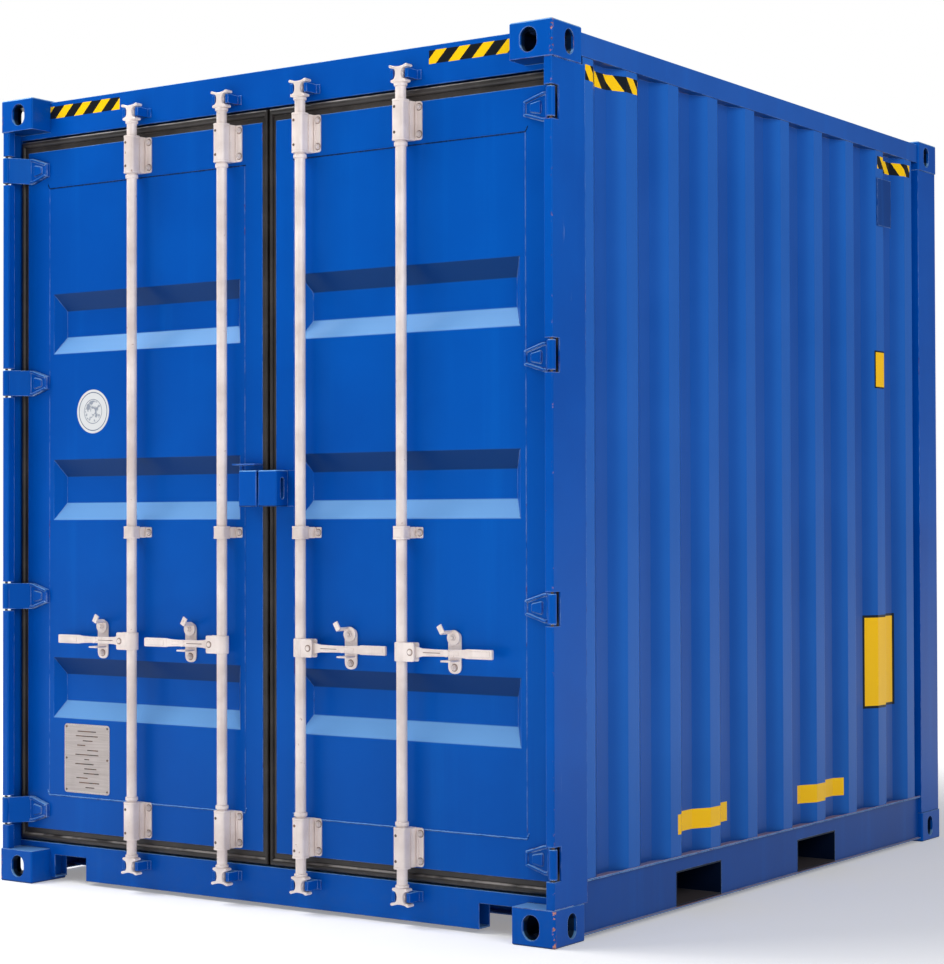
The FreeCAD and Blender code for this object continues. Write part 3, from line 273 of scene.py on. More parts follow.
def paint(name, wear_and_edge_light=1.0, stickers=None, chips=0.0, weathered=None, dyes=DOOR_BLUES, up_highlight=0.85):
    """Blue container enamel: faint mottling, run-down streaks, a painted highlight on faces that look up and
    painted shade on faces that look down, rubbed edges with a painted highlight along them, chips down to
    primer.
    """
    f = Finish(name)
    broad = f.noise(1.3, 4.0, 0.6, seed=1.0)
    streak = f.noise(1.0, 4.0, 0.6, f.stretched(9.0, 9.0, 0.45), seed=2.0)
    fine = f.noise(38.0, 3.0, 0.6, seed=3.0)
    colour = f.blend(broad.clear(0.35, 0.68), *dyes)
    colour = f.blend(streak.clear(0.5, 0.78) * 0.3, colour, FADED_BLUE)
    up = f.facing("Z")
    # Painted highlight on faces that look up, painted shade on faces that look down.
    colour = f.blend(up.clear(0.08, 0.34) * up_highlight, colour, UPWARD_HIGHLIGHT_BLUE)
    colour = f.blend((-up).clear(0.08, 0.34) * 0.9, colour, SHADE_BLUE)
    dust = (1.0 - f.z.clear(0.02, 0.34)) * fine.clear(0.4, 0.75) * 0.05
    colour = f.blend(dust, colour, (0.10, 0.11, 0.12))
    edge = f.edge(4.5 * MM)
    # Rubbed edges, lighter from wear and from a painted highlight.
    rubbed = edge.clear(0.015, 0.16) * f.noise(22.0, 3.0, seed=4.0).clear(0.34, 0.6)
    colour = f.blend(rubbed * (0.6 * wear_and_edge_light), colour, EDGE_WEAR_HIGHLIGHT)
    patch = f.noise(7.0, 4.0, 0.65, seed=5.0)
    flaking = (patch * 0.6 + fine * 0.4).clear(0.60 - 0.03 * wear_and_edge_light - chips, 0.63 - chips)
    chip = edge.clear(0.02, 0.12) * flaking
    speck = f.noise(15.0, 5.0, 0.7, seed=6.0).clear(0.735 - chips, 0.75 - chips)
    bare = (chip + speck * 0.7).least(1.0)
    rust = f.blend(fine.clear(0.45, 0.6), PRIMER, RUST_DARK)
    colour = f.blend(bare, colour, rust)
    if weathered:
        colour = weathered(f, colour, fine, broad)
    if stickers:
        colour = stickers(f, colour)
    gloss = 0.24 + 0.10 * broad + 0.06 * fine + bare * 0.4
    relief = broad * 0.5 + fine * 0.05 - bare * 0.12
    return f.surface(colour, gloss, 0.0, relief, 0.004, 0.35, 0.21, BLUE_SHEEN)


def rail_rust(f, colour, fine, broad):
    """Pink-brown bloom on every ledge that faces up."""
    bloom = f.facing("Z").clear(0.35, 0.8) * (0.45 + 0.5 * broad.clear(0.4, 0.6))
    return f.blend(bloom, colour, RUST_PINK)


def corner_chips(f, colour, fine, broad, least=0.53):
    """Chips down to primer along the upright corner that gets knocked most."""
    across = f.x.size() - SIDE
    along = f.y - FRONT
    near = 1.0 - ((across * across + along * along) ** 0.5).clear(0.004, 0.012)
    knock = f.noise(60.0, 4.0, 0.7, seed=8.0).clear(least, least + 0.02)
    return f.blend(near * knock, colour, f.blend(fine.clear(0.4, 0.6), CHIP_PINK, RUST_DARK))


def casting_wear(f, colour, fine, broad):
    """Chipped corners outside, and painted black shade all through the hollow."""
    colour = corner_chips(f, colour, fine, broad)
    shell, soft = 0.009, 0.002
    shaded_hollow = f.within(SIDE - f.x.size(), shell, CASTING_WIDTH - shell, soft)
    shaded_hollow = shaded_hollow * f.within(BACK - f.y.size(), shell, CASTING_LENGTH - shell, soft)
    level = TOP / 2 - (f.z - TOP / 2).size()
    shaded_hollow = shaded_hollow * f.within(level, 0.008, 0.110, soft)
    return f.blend(shaded_hollow * 0.93, colour, HOLLOW_SHADE_BLACK)


def pocket_shade_and_dirt(f, colour, fine, broad):
    """Painted black shade inside a fork pocket, with brown dirt along its floor."""
    floor = f.facing("Z").clear(0.4, 0.8)
    dirt = f.blend(floor, HOLLOW_SHADE_BLACK, (0.085, 0.062, 0.050))
    return f.blend((SIDE - f.x.size()).clear(0.002, 0.010) * 0.95, colour, dirt)


def post_scuffs(f, colour, fine, broad):
    """Long upright scrapes near the rear edge of the post's outer face, and a few chips."""
    colour = corner_chips(f, colour, fine, broad, 0.61)
    scrape = f.noise(1.0, 3.0, 0.7, f.stretched(30.0, 160.0, 2.2), seed=7.0).clear(0.70, 0.74)
    strip = f.within(f.y, FRONT + 0.03, FRONT + 0.13, 0.01)
    return f.blend(scrape * strip * 0.8, colour, (0.42, 0.50, 0.68))


def seam_shade(f, colour, fine, broad):
    """Weld lines near the floor get a painted highlight; those by the header get painted dark shadow."""
    return f.blend(f.z.clear(1.2, 2.4), (0.12, 0.30, 0.70), (0.0, 0.012, 0.07))


# tapes and panels on the header and the walls: (start, end) along each, then their heights
HEADER_TAPES = ((-1.057, -0.704), (0.681, 1.057))
HEADER_TAPE_HEIGHTS = (2.826, 2.871)
WALL_TAPES = ((0.215, 0.580), (2.430, 2.745))
WALL_TAPE_HEIGHTS = (2.735, 2.785)
POCKET_MARKS = ((0.795, 1.210), (1.765, 2.115))
POCKET_MARK_HEIGHTS = (0.262, 0.330)
# (start, end, foot, head, black rim)
PANELS = ((2.345, 2.635, 0.578, 0.948, 0.010), (2.405, 2.515, 1.853, 2.003, 0.006))
DECAL_X = -0.837
DECAL_Z = 1.731


def stripes(f, across, up, start, end, floor, roof, lean=1.0, pitch=0.094):
    """Yellow and black slanting bands: returns their colour and the patch they fill."""
    band = (across - up * lean).part(pitch) > pitch * 0.47
    patch = f.within(across, start, end) * f.within(up, floor, roof)
    return f.blend(band, SIGN_YELLOW, SIGN_BLACK), patch


def header_signs(f, colour):
    """A hazard tape at each end of the header. The right one is kept to its front."""
    left, right = HEADER_TAPES
    tape, patch = stripes(f, f.x, f.z, *left, *HEADER_TAPE_HEIGHTS)
    colour = f.blend(patch, colour, tape)
    tape, patch = stripes(f, f.x, f.z, *right, *HEADER_TAPE_HEIGHTS)
    front = 1.0 - f.y.clear(FACE + 0.001, FACE + 0.002)
    return f.blend(patch * front, colour, tape)


def wall_signs(f, colour):
    """Painted shade in the hollows between the ribs and a painted highlight on the outer flats, and the tapes
    and panels that are stuck on the wall.
    """
    hollow = (WALL_FACE - f.x.size()).clear(0.004, 0.03)
    # Painted highlight on the outer flats, painted shade in the hollows.
    colour = f.blend((1.0 - hollow) * 0.35, colour, (0.018, 0.15, 0.55))
    colour = f.blend(hollow * 0.25, colour, (0.004, 0.045, 0.25))
    bare = colour
    along = f.y - FRONT
    for start, end in WALL_TAPES:
        tape, patch = stripes(f, along, f.z, start, end, *WALL_TAPE_HEIGHTS, -0.8, 0.09)
        colour = f.blend(patch, colour, tape)
    for start, end in POCKET_MARKS:
        patch = f.within(along, start, end) * f.within(f.z, *POCKET_MARK_HEIGHTS)
        colour = f.blend(patch, colour, TAPE_YELLOW)
    for start, end, floor, roof, rim in PANELS:
        patch = f.within(along, start, end) * f.within(f.z, floor, roof)
        colour = f.blend(patch, colour, SIGN_BLACK)
        patch = f.within(along, start + rim, end - rim) * f.within(f.z, floor + rim, roof - rim)
        colour = f.blend(patch, colour, TAPE_YELLOW)
    outward = f.facing("X") * f.x > 0.0
    return f.blend(outward, bare, colour)


def leaf_signs(f, colour):
    """A round decal on the left leaf, with plain rings and no words."""
    x = f.x - DECAL_X
    z = f.z - DECAL_Z
    radius = (x * x + z * z) ** 0.5
    disc = 1.0 - radius.clear(0.0795, 0.0805)
    ring = f.within(radius, 0.068, 0.071) + f.within(radius, 0.043, 0.045)
    grain = f.noise(60.0, 2.0, seed=9.0).clear(0.45, 0.6) * f.within(radius, 0.01, 0.04)
    colour = f.blend(disc, colour, DECAL_WHITE)
    return f.blend((ring + grain * 0.7) * disc, colour, (0.10, 0.14, 0.22))


def handle_slot_shade(f, colour):
    """Painted shade standing for a slot along the middle of each handle's arm, between its hub and its catch.
    """
    slot = 1.0 - (f.z - HANDLE_Z).size().clear(0.0010, 0.0020)
    for node in ("right_outer_handle", "right_inner_handle"):
        heel = low(node).x
        along = f.within(f.x.size(), heel + 0.062, heel + 0.132, 0.002)
        colour = f.blend(slot * along * 0.8, colour, (0.10, 0.065, 0.055))
    return colour


def galvanised(name, dull=(0.66, 0.565, 0.53), pale=(0.88, 0.79, 0.75), grimy=0.55, marks=None):
    """Pale grey-beige coating over zinc, with brown creeping from joints and edges."""
    f = Finish(name)
    broad = f.noise(6.0, 4.0, 0.6, seed=1.0)
    fine = f.noise(70.0, 3.0, 0.6, seed=2.0)
    streak = f.noise(4.0, 4.0, 0.6, f.stretched(6.0, 6.0, 0.5), seed=3.0)
    colour = f.blend(broad.clear(0.3, 0.7), dull, pale)
    colour = f.blend(streak.clear(0.52, 0.78) * 0.35, colour, (0.50, 0.40, 0.36))
    edge = f.edge(3.0 * MM)
    grime = edge.clear(0.06, 0.32) * broad.clear(0.42, 0.62)
    colour = f.blend(grime * grimy, colour, (0.26, 0.17, 0.14))
    spot = f.noise(30.0, 4.0, 0.65, seed=4.0).clear(0.66, 0.70)
    colour = f.blend(spot * 0.7, colour, (0.33, 0.17, 0.11))
    if marks:
        colour = marks(f, colour)
    return f.surface(colour, 0.36 + 0.2 * fine, 0.12 - spot * 0.1, broad + fine * 0.3, 0.0012, 0.35)


def rubber(name):
    """Black seal rubber, with pale dust lying on top of it; its pale top is partly a painted highlight."""
    f = Finish(name)
    broad = f.noise(5.0, 4.0, 0.6, seed=1.0)
    fine = f.noise(60.0, 3.0, 0.6, seed=2.0)
    colour = f.blend(broad.clear(0.35, 0.7), (0.010, 0.008, 0.007), (0.034, 0.028, 0.025))
    dust = fine.clear(0.5, 0.75) * broad.clear(0.4, 0.7)
    colour = f.blend(dust * 0.25, colour, (0.13, 0.11, 0.095))
    # Faces that look up go pale: partly settled dust, partly a painted highlight.
    dust_and_highlight = f.facing("Z").clear(0.25, 0.85) * f.noise(7.0, 3.0, 0.6, seed=3.0).clear(0.36, 0.58)
    colour = f.blend(dust_and_highlight * 0.75, colour, (0.36, 0.33, 0.31))
    return f.surface(colour, 0.36 + 0.25 * broad, 0.0, fine + broad, 0.0012, 0.25)


def floor_wood(name):
    """Brown boards with their grain along the box."""
    f = Finish(name)
    grain = f.noise(3.0, 6.0, 0.65, f.stretched(22.0, 1.2, 22.0), seed=1.0)
    broad = f.noise(2.0, 3.0, seed=2.0)
    colour = f.blend(grain.clear(0.3, 0.7), (0.15, 0.065, 0.028), (0.34, 0.18, 0.085))
    colour = f.blend(broad.clear(0.5, 0.8) * 0.5, colour, (0.08, 0.045, 0.03))
    return f.surface(colour, 0.5 + 0.25 * grain, 0.0, grain, 0.002, 0.4)


def plate_metal(name):
    """Dull brushed metal with a rubbed bright rim."""
    f = Finish(name)
    brush = f.noise(8.0, 4.0, 0.6, f.stretched(1.0, 1.0, 30.0), seed=1.0)
    broad = f.noise(9.0, 3.0, seed=2.0)
    colour = f.blend(brush.clear(0.3, 0.7), (0.42, 0.37, 0.35), (0.52, 0.465, 0.445))
    colour = f.blend(broad.clear(0.5, 0.75) * 0.3, colour, (0.34, 0.30, 0.28))
    rim = f.edge(2.0 * MM).clear(0.04, 0.2)
    colour = f.blend(rim * 0.8, colour, (0.92, 0.89, 0.88))
    return f.surface(colour, 0.4 + 0.2 * broad, 0.15, brush, 0.0004, 0.25)


def pin_steel(name):
    """Dark steel with patches of rust."""
    f = Finish(name)
    fine = f.noise(40.0, 3.0, seed=1.0)
    colour = f.blend(fine.clear(0.4, 0.6), (0.10, 0.09, 0.085), (0.22, 0.13, 0.09))
    return f.surface(colour, 0.55 + 0.2 * fine, 0.5, fine, 0.001, 0.4)


BLUE = paint("container_blue")
BLUE_HEADER = paint("container_blue_header", stickers=header_signs)
BLUE_WALL = paint("container_blue_wall", 0.7, wall_signs, dyes=WALL_LIT_BLUES)
BLUE_LEFT_LEAF = paint("container_blue_left_leaf", 0.8, leaf_signs)
BLUE_POST = paint("container_blue_post", 1.3, chips=0.03, weathered=post_scuffs)
BLUE_CASTING = paint("container_blue_casting", 1.4, chips=0.03, weathered=casting_wear)
BLUE_POCKET = paint("container_blue_pocket", weathered=pocket_shade_and_dirt)
# The hinge blades get more edge wear, with its painted highlight, and more chips.
BLUE_BLADE = paint("container_blue_blade", 1.7)
# The roof gets less of the painted highlight on faces that look up.
BLUE_ROOF = paint("container_blue_roof", 0.8, up_highlight=0.3)
# The vent covers are painted darker all over: painted shade.
BLUE_VENT_SHADE = paint("container_blue_vent_shade", dyes=VENT_SHADE_BLUES)
BLUE_RAIL = paint("container_blue_rail", 1.2, weathered=rail_rust, dyes=RAIL_BLUES)
BLUE_TOP_RAIL = paint("container_blue_top_rail", 0.7, dyes=WALL_LIT_BLUES)
BLUE_SEAM = paint("container_blue_seam", 0.0, weathered=seam_shade)
ZINC = galvanised("pale_zinc")
HANDLE_ZINC = galvanised("handle_zinc", marks=handle_slot_shade)
BOLT_ZINC = galvanised("bolt_zinc", (0.52, 0.44, 0.41), (0.84, 0.76, 0.73), 0.9)
# dark zinc for the flat discs round the bolts and hubs
DARK_RING_ZINC = galvanised("dark_ring_zinc", (0.16, 0.105, 0.085), (0.34, 0.26, 0.22), 0.9)
RUBBER = rubber("seal_rubber")
WOOD = floor_wood("floor_wood")
PLATE = plate_metal("plate_aluminium")
STEEL = pin_steel("bare_steel")

# ---- mesh helpers -------------------------------------------------------------------------------

PLACE = {
    "x": lambda u, v, t: (t, u, v),
    "y": lambda u, v, t: (u, t, v),
    "z": lambda u, v, t: (u, v, t),
}


def copy_of(node):
    """The CAD mesh of a node as joined faces, flat areas merged."""
    work = bmesh.new()
    work.from_mesh(frame["nodes"][node].data)
    bmesh.ops.remove_doubles(work, verts=work.verts, dist=2e-5)
    bmesh.ops.dissolve_limit(work, angle_limit=math.radians(1.0), verts=work.verts, edges=work.edges)
    return work


def turn(edge):
    """How sharply an edge turns, in degrees."""
    if len(edge.link_faces) != 2:
        return 0.0
    return math.degrees(edge.calc_face_angle(0.0))


def sharp(angle=35.0, length=0.0):
    """Chooses the edges that turn by more than an angle and are longer than a length."""
    return lambda e: turn(e) > angle and e.calc_length() > length


def fold(e):
    """Chooses the long edges where pressed sheet is folded."""
    return 12.0 < turn(e) < 60.0 and e.calc_length() > 0.15


def bevel(work, width, choose, segments=2, clamp=True):
    edges = [e for e in work.edges if len(e.link_faces) == 2 and choose(e)]
    if edges:
        bmesh.ops.bevel(
            work, geom=edges, offset=width, offset_type="OFFSET", segments=segments,
            profile=0.5, affect="EDGES", clamp_overlap=clamp, material=-1,
        )
    return work


def rounded(corners, radius, steps=5):
    """A closed outline whose corners are arcs of one radius."""
    loop = []
    for index, corner in enumerate(corners):
        here = Vector(corner)
        back = Vector(corners[index - 1]) - here
        ahead = Vector(corners[(index + 1) % len(corners)]) - here
        half = back.angle(ahead) / 2
        run = min(radius / math.tan(half), back.length * 0.49, ahead.length * 0.49)
        start = here + back.normalized() * run
        end = here + ahead.normalized() * run
        for step in range(steps + 1):
            t = step / steps
            loop.append(tuple(start * (1 - t) ** 2 + here * (2 * t * (1 - t)) + end * t**2))
    return loop


def plate_outline(x, z, half_x, half_z, radius, steps=5):
    corners = [(x + u * half_x, z + v * half_z) for u, v in ((-1, -1), (1, -1), (1, 1), (-1, 1))]
    return rounded(corners, radius, steps)


def skin(rows, closed=False, caps=True):
    """A closed shell through rows of points that each run round once."""
    part = bmesh.new()
    made = [[part.verts.new(point) for point in row] for row in rows]
    count = len(made[0])
    pairs = list(zip(made, made[1:] + made[:1] if closed else made[1:]))
    for first, second in pairs:
        for i in range(count):
            j = (i + 1) % count
            part.faces.new((first[i], first[j], second[j], second[i]))
    if caps and not closed:
        part.faces.new(made[0])
        part.faces.new(made[-1])
    bmesh.ops.recalc_face_normals(part, faces=part.faces)
    return part


def prism(loop, axis, start, end, ease=0.0, steps=2):
    """An outline drawn out along an axis, with its sharp edges rounded when ease is given."""
    part = skin([[PLACE[axis](u, v, t) for u, v in loop] for t in (start, end)])
    return bevel(part, ease, sharp(50.0), steps) if ease else part


def band(outer, inner, axis, start, end, ease=0.0, steps=2):
    """A prism with a hole: both outlines have the same number of points."""
    rows = [(outer, start), (outer, end), (inner, end), (inner, start)]
    part = skin([[PLACE[axis](u, v, t) for u, v in loop] for loop, t in rows], closed=True)
    return bevel(part, ease, sharp(50.0), steps) if ease else part


def circle(x, y, radius, sides=40):
    turns = [math.tau * i / sides for i in range(sides)]
    return [(x + radius * math.cos(a), y + radius * math.sin(a)) for a in turns]


def squircle(x, y, half, sides=40, power=4.0):
    """A square with well rounded corners, with one point for each of a circle's."""
    loop = []
    for i in range(sides):
        a = math.tau * i / sides
        reach = half / (abs(math.cos(a)) ** power + abs(math.sin(a)) ** power) ** (1 / power)
        loop.append((x + reach * math.cos(a), y + reach * math.sin(a)))
    return loop


def turned(profile, axis, u, v, sides=40, hollow=False):
    """A shape of revolution about an axis: its profile is (radius, place along the axis)."""
    rows = [[PLACE[axis](a, b, t) for a, b in circle(u, v, radius, sides)] for radius, t in profile]
    return skin(rows, closed=hollow)


def gather(parts):
    """All the shells as one mesh."""
    whole = bmesh.new()
    for part in parts:
        scrap = bpy.data.meshes.new("scrap")
        part.to_mesh(scrap)
        part.free()
        whole.from_mesh(scrap)
        bpy.data.meshes.remove(scrap)
    return whole


def mirrored(work):
    for vert in work.verts:
        vert.co.x = -vert.co.x
    bmesh.ops.reverse_faces(work, faces=work.faces)
    return work


def shade(work, angle=32.0):
    for face in work.faces:
        face.smooth = True
    for edge in work.edges:
        edge.smooth = len(edge.link_faces) == 2 and turn(edge) < angle


def fans(vert):
    """The faces round a corner, in groups that smooth edges join."""
    rest = list(vert.link_faces)
    while rest:
        fan = [rest.pop()]
        for face in fan:
            for edge in face.edges:
                if edge.smooth and vert in edge.verts:
                    near = [other for other in edge.link_faces if other in rest]
                    fan += near
                    rest = [other for other in rest if other not in near]
        yield fan


def corner_normals(work):
    """A normal for each face's corners that follows the larger faces, so that flats stay flat."""
    work.verts.index_update()
    work.faces.index_update()
    work.normal_update()
    weighted = [face.normal * face.calc_area() for face in work.faces]
    normals = {}
    for vert in work.verts:
        for fan in fans(vert):
            normal = sum((weighted[face.index] for face in fan), Vector()).normalized()
            for face in fan:
                normals[face.index, vert.index] = normal
    return [normals[face.index, vert.index] for face in work.faces for vert in face.verts]


def settle(name, mesh, body, slot, stands_for=()):
    made = bpy.data.objects.new(name, mesh)
    bpy.context.scene.collection.objects.link(made)
    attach(made, body)
    if stands_for:
        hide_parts(*stands_for)
    return made


def piece(name, work, body, slot, finish, stands_for=()):
    shade(work)
    corners = corner_normals(work)
    mesh = bpy.data.meshes.new(name)
    work.to_mesh(mesh)
    work.free()
    mesh.normals_split_custom_set(corners)
    mesh.materials.append(finish)
    return settle(name, mesh, body, slot, stands_for)


def refined(node, work, finish):
    """A shaped piece that takes the place of a CAD node."""
    return piece(node + "_finished", work, BODY_OF[node], SLOT_OF[node], finish, [node])


def handed(side, work):
    return work if side == "right" else mirrored(work)


# ---- repeated small pieces ----------------------------------------------------------------------


class Recipe(Making):
    """A geometry tree being made up, with named inputs."""

    def __init__(self, name, inputs):
        self.tree = bpy.data.node_groups.new(name, "GeometryNodeTree")
        face = self.tree.interface
        face.new_socket("Places", in_out="INPUT", socket_type="NodeSocketGeometry")
        self.inputs = {}
        for label, (kind, value) in inputs.items():
            socket = face.new_socket(label, in_out="INPUT", socket_type="NodeSocket" + kind)
            if value is not None:
                socket.default_value = value
            self.inputs[label] = socket.identifier
        face.new_socket("Made", in_out="OUTPUT", socket_type="NodeSocketGeometry")
        self.door = self.tree.nodes.new("NodeGroupInput")

    def given(self, label):
        return Wire(self, self.door.outputs[label])

    def finish(self, made):
        """Ends the tree: real faces, with the finish that it is given."""
        real = self.node("GeometryNodeRealizeInstances", {}, {"Geometry": made})
        done = self.node("GeometryNodeSetMaterial", {}, {"Geometry": real, "Material": self.given("Finish")})
        out = self.tree.nodes.new("NodeGroupOutput")
        self.tree.links.new(done.socket, out.inputs["Made"])

    def run(self, name, points, runs, values, body, slot):
        """Runs the tree on points, or on lines through them, and keeps the result as one mesh."""
        start = bpy.data.meshes.new(name + "_places")
        start.from_pydata(points, runs, [])
        holder = bpy.data.objects.new(name + "_places", start)
        bpy.context.scene.collection.objects.link(holder)
        modifier = holder.modifiers.new("made", "NODES")
        modifier.node_group = self.tree
        for label, value in values.items():
            modifier[self.inputs[label]] = value
        ready = holder.evaluated_get(bpy.context.evaluated_depsgraph_get())
        mesh = bpy.data.meshes.new_from_object(ready)
        mesh.name = name
        holder.modifiers.remove(modifier)
        bpy.data.objects.remove(holder)
        bpy.data.meshes.remove(start)
        return settle(name, mesh, body, slot)


def bolt_recipe():
    """A washer, a six-sided head and the bolt's end, set on each point and facing the doors' front."""
    r = Recipe(
        "bolts",
        {
            "Finish": ("Material", None),
            "Head Radius": ("Float", 0.010),
            "Head Height": ("Float", 0.006),
            "Washer Radius": ("Float", 0.0135),
            "Washer Height": ("Float", 0.002),
            "Seed": ("Int", 4),
        },
    )
    washer_height = r.given("Washer Height")
    head_height = r.given("Head Height")
    washer = r.node(
        "GeometryNodeMeshCylinder", {"fill_type": "NGON"},
        {"Vertices": 20, "Radius": r.given("Washer Radius"), "Depth": washer_height * 2.0},
    )
    head = r.node(
        "GeometryNodeMeshCylinder", {"fill_type": "NGON"},
        {"Vertices": 6, "Radius": r.given("Head Radius"), "Depth": head_height},
    )
    end = r.node(
        "GeometryNodeMeshCone", {"fill_type": "NGON"},
        {
            "Vertices": 12,
            "Radius Bottom": r.given("Head Radius") * 0.5,
            "Radius Top": r.given("Head Radius") * 0.42,
            "Depth": head_height * 0.45,
        },
    )
    lift = r.node("ShaderNodeCombineXYZ", {}, {"Z": washer_height + head_height * 0.5})
    head = r.node("GeometryNodeTransform", {}, {"Geometry": head, "Translation": lift})
    lift = r.node("ShaderNodeCombineXYZ", {}, {"Z": washer_height + head_height})
    end = r.node("GeometryNodeTransform", {}, {"Geometry": end, "Translation": lift})
    shape = r.tree.nodes.new("GeometryNodeJoinGeometry")
    for part in (washer, head, end):
        r.tree.links.new(part.socket, shape.inputs[0])
    set_on = r.node(
        "GeometryNodeInstanceOnPoints", {},
        {
            "Points": r.given("Places"),
            "Instance": Wire(r, shape.outputs[0]),
            "Rotation": (math.radians(90.0), 0.0, 0.0),
        },
    )
    spin = r.node(
        "FunctionNodeRandomValue", {"data_type": "FLOAT"},
        {2: 0.0, 3: math.tau, "Seed": r.given("Seed")}, output=1,
    )
    spin = r.node("ShaderNodeCombineXYZ", {}, {"Z": spin})
    r.finish(r.node("GeometryNodeRotateInstances", {}, {"Instances": set_on, "Rotation": spin}))
    return r


def rivet_recipe():
    """A low dome on each point, facing the doors' front."""
    r = Recipe(
        "rivets",
        {"Finish": ("Material", None), "Radius": ("Float", 0.005), "Flatness": ("Float", 0.5)},
    )
    ball = r.node("GeometryNodeMeshUVSphere", {}, {"Segments": 16, "Rings": 8, "Radius": r.given("Radius")})
    ball = r.node("GeometryNodeSetShadeSmooth", {}, {"Geometry": ball})
    flat = r.node("ShaderNodeCombineXYZ", {}, {"X": 1.0, "Y": r.given("Flatness"), "Z": 1.0})
    values = {"Points": r.given("Places"), "Instance": ball, "Scale": flat}
    r.finish(r.node("GeometryNodeInstanceOnPoints", {}, values))
    return r


def weld_recipe():
    """A run of overlapping drops along each line, a little uneven."""
    r = Recipe(
        "weld_beads",
        {
            "Finish": ("Material", None),
            "Step": ("Float", 0.007),
            "Radius": ("Float", 0.003),
            "Stretch": ("Float", 1.8),
            "Unevenness": ("Float", 0.25),
            "Seed": ("Int", 7),
        },
    )
    path = r.node("GeometryNodeMeshToCurve", {}, {"Mesh": r.given("Places")})
    path = r.node(
        "GeometryNodeResampleCurve", {"mode": "LENGTH"}, {"Curve": path, "Length": r.given("Step")}
    )
    drop = r.node("GeometryNodeMeshUVSphere", {}, {"Segments": 8, "Rings": 5, "Radius": r.given("Radius")})
    drop = r.node("GeometryNodeSetShadeSmooth", {}, {"Geometry": drop})
    uneven = r.given("Unevenness")
    swell = r.node(
        "FunctionNodeRandomValue", {"data_type": "FLOAT"},
        {2: 1.0 - uneven, 3: 1.0 + uneven, "Seed": r.given("Seed")}, output=1,
    )
    scale = r.node("ShaderNodeCombineXYZ", {}, {"X": r.given("Stretch"), "Y": swell, "Z": swell})
    along = r.node("GeometryNodeInputTangent")
    lean = r.node("FunctionNodeAlignRotationToVector", {"axis": "X"}, {"Vector": along})
    r.finish(
        r.node(
            "GeometryNodeInstanceOnPoints", {},
            {"Points": path, "Instance": drop, "Rotation": lean, "Scale": scale},
        )
    )
    return r


# ---- door gear ----------------------------------------------------------------------------------

COLLAR_RADIUS = 0.022
BAR_X = {place: low("right_%s_bar" % place).x + COLLAR_RADIUS for place in ("outer", "inner")}


def neck_ring(z, height, wide=22.5 * MM, narrow=18.0 * MM):
    """The rise and fall of a collar round a bar."""
    ease = 1.4 * MM
    foot = [(narrow, z), (wide - ease, z), (wide, z + ease)]
    head = [(wide, z + height - ease), (wide - ease, z + height), (narrow, z + height)]
    return foot + head


def bar_shape(x):
    """A tube with its collars, and the forked block that carries the handle."""
    foot, head = low("right_outer_bar").z, high("right_outer_bar").z
    profile = [(0.012, foot)] + neck_ring(foot + 0.0005, 0.009)
    profile += neck_ring(0.3325, 0.013) + neck_ring(2.558, 0.013)
    profile += neck_ring(head - 0.0105, 0.010) + [(0.012, head)]
    parts = [turned(profile, "z", x, BAR_Y, 40)]
    z = HANDLE_Z
    half = [(0.0175, 0.031), (0.0225, 0.031), (0.024, 0.029)]
    sleeve = [(r, z - t) for r, t in half] + [(r, z + t) for r, t in reversed(half)]
    parts.append(turned(sleeve, "z", x, BAR_Y, 32, hollow=True))
    cheek = plate_outline(x + 0.0335, z, 0.0265, 0.031, 0.007)
    for start, end in ((-0.0180, -0.0100), (0.0100, 0.0170)):
        parts.append(prism(cheek, "y", BAR_Y + start, BAR_Y + end, 2.2 * MM, 3))
    bolt = [(0.0078, 0.0175), (0.0078, 0.0205), (0.0068, 0.0222), (0.0040, 0.0228)]
    parts.append(turned([(r, BAR_Y - t) for r, t in bolt], "y", x + HUB_REACH, z, 20))
    nut = circle(x + HUB_REACH, z, 0.010, 6)
    parts.append(prism(nut, "y", BAR_Y + 0.0165, BAR_Y + 0.0225, 0.8 * MM))
    return gather(parts)


# half of a cam seen from the front, in mm from its middle, from the outer horn to the inner one
CAM_HALF = [
    (0.0, 23.5), (9.0, 24.0), (20.0, 25.5), (27.0, 28.8), (33.0, 30.0), (37.2, 28.2), (38.0, 24.0),
    (35.5, 20.8), (28.0, 19.6), (20.0, 18.2), (15.0, 14.0), (12.6, 7.0), (12.0, 0.0), (13.0, -8.0),
    (16.5, -15.5), (23.0, -19.2), (29.0, -20.2), (31.5, -24.0), (29.5, -28.6), (22.0, -30.0), (0.0, -30.0),
]


def cams_shape(x):
    """A horned spool on each end of a bar, its wider horns outermost."""
    parts = []
    reach = 0.030
    for middle, way in (
        (high("right_outer_cams").z - reach, 1.0),
        (low("right_outer_cams").z + reach, -1.0),
    ):
        half = [(u * MM, way * v * MM) for u, v in CAM_HALF]
        loop = half + [(-u, v) for u, v in reversed(half[1:-1])]
        loop = [(x + u, middle + v) for u, v in loop]
        parts.append(prism(loop, "y", BAR_Y - 0.0165, BAR_Y + 0.0150, 3.4 * MM, 3))
        spine = [(0.0100, -0.029), (0.0150, -0.027), (0.0150, 0.0), (0.0135, 0.020)]
        spine = [(r, middle + way * t) for r, t in spine]
        parts.append(turned(spine, "z", x, BAR_Y + 0.001, 24))
    return gather(parts)


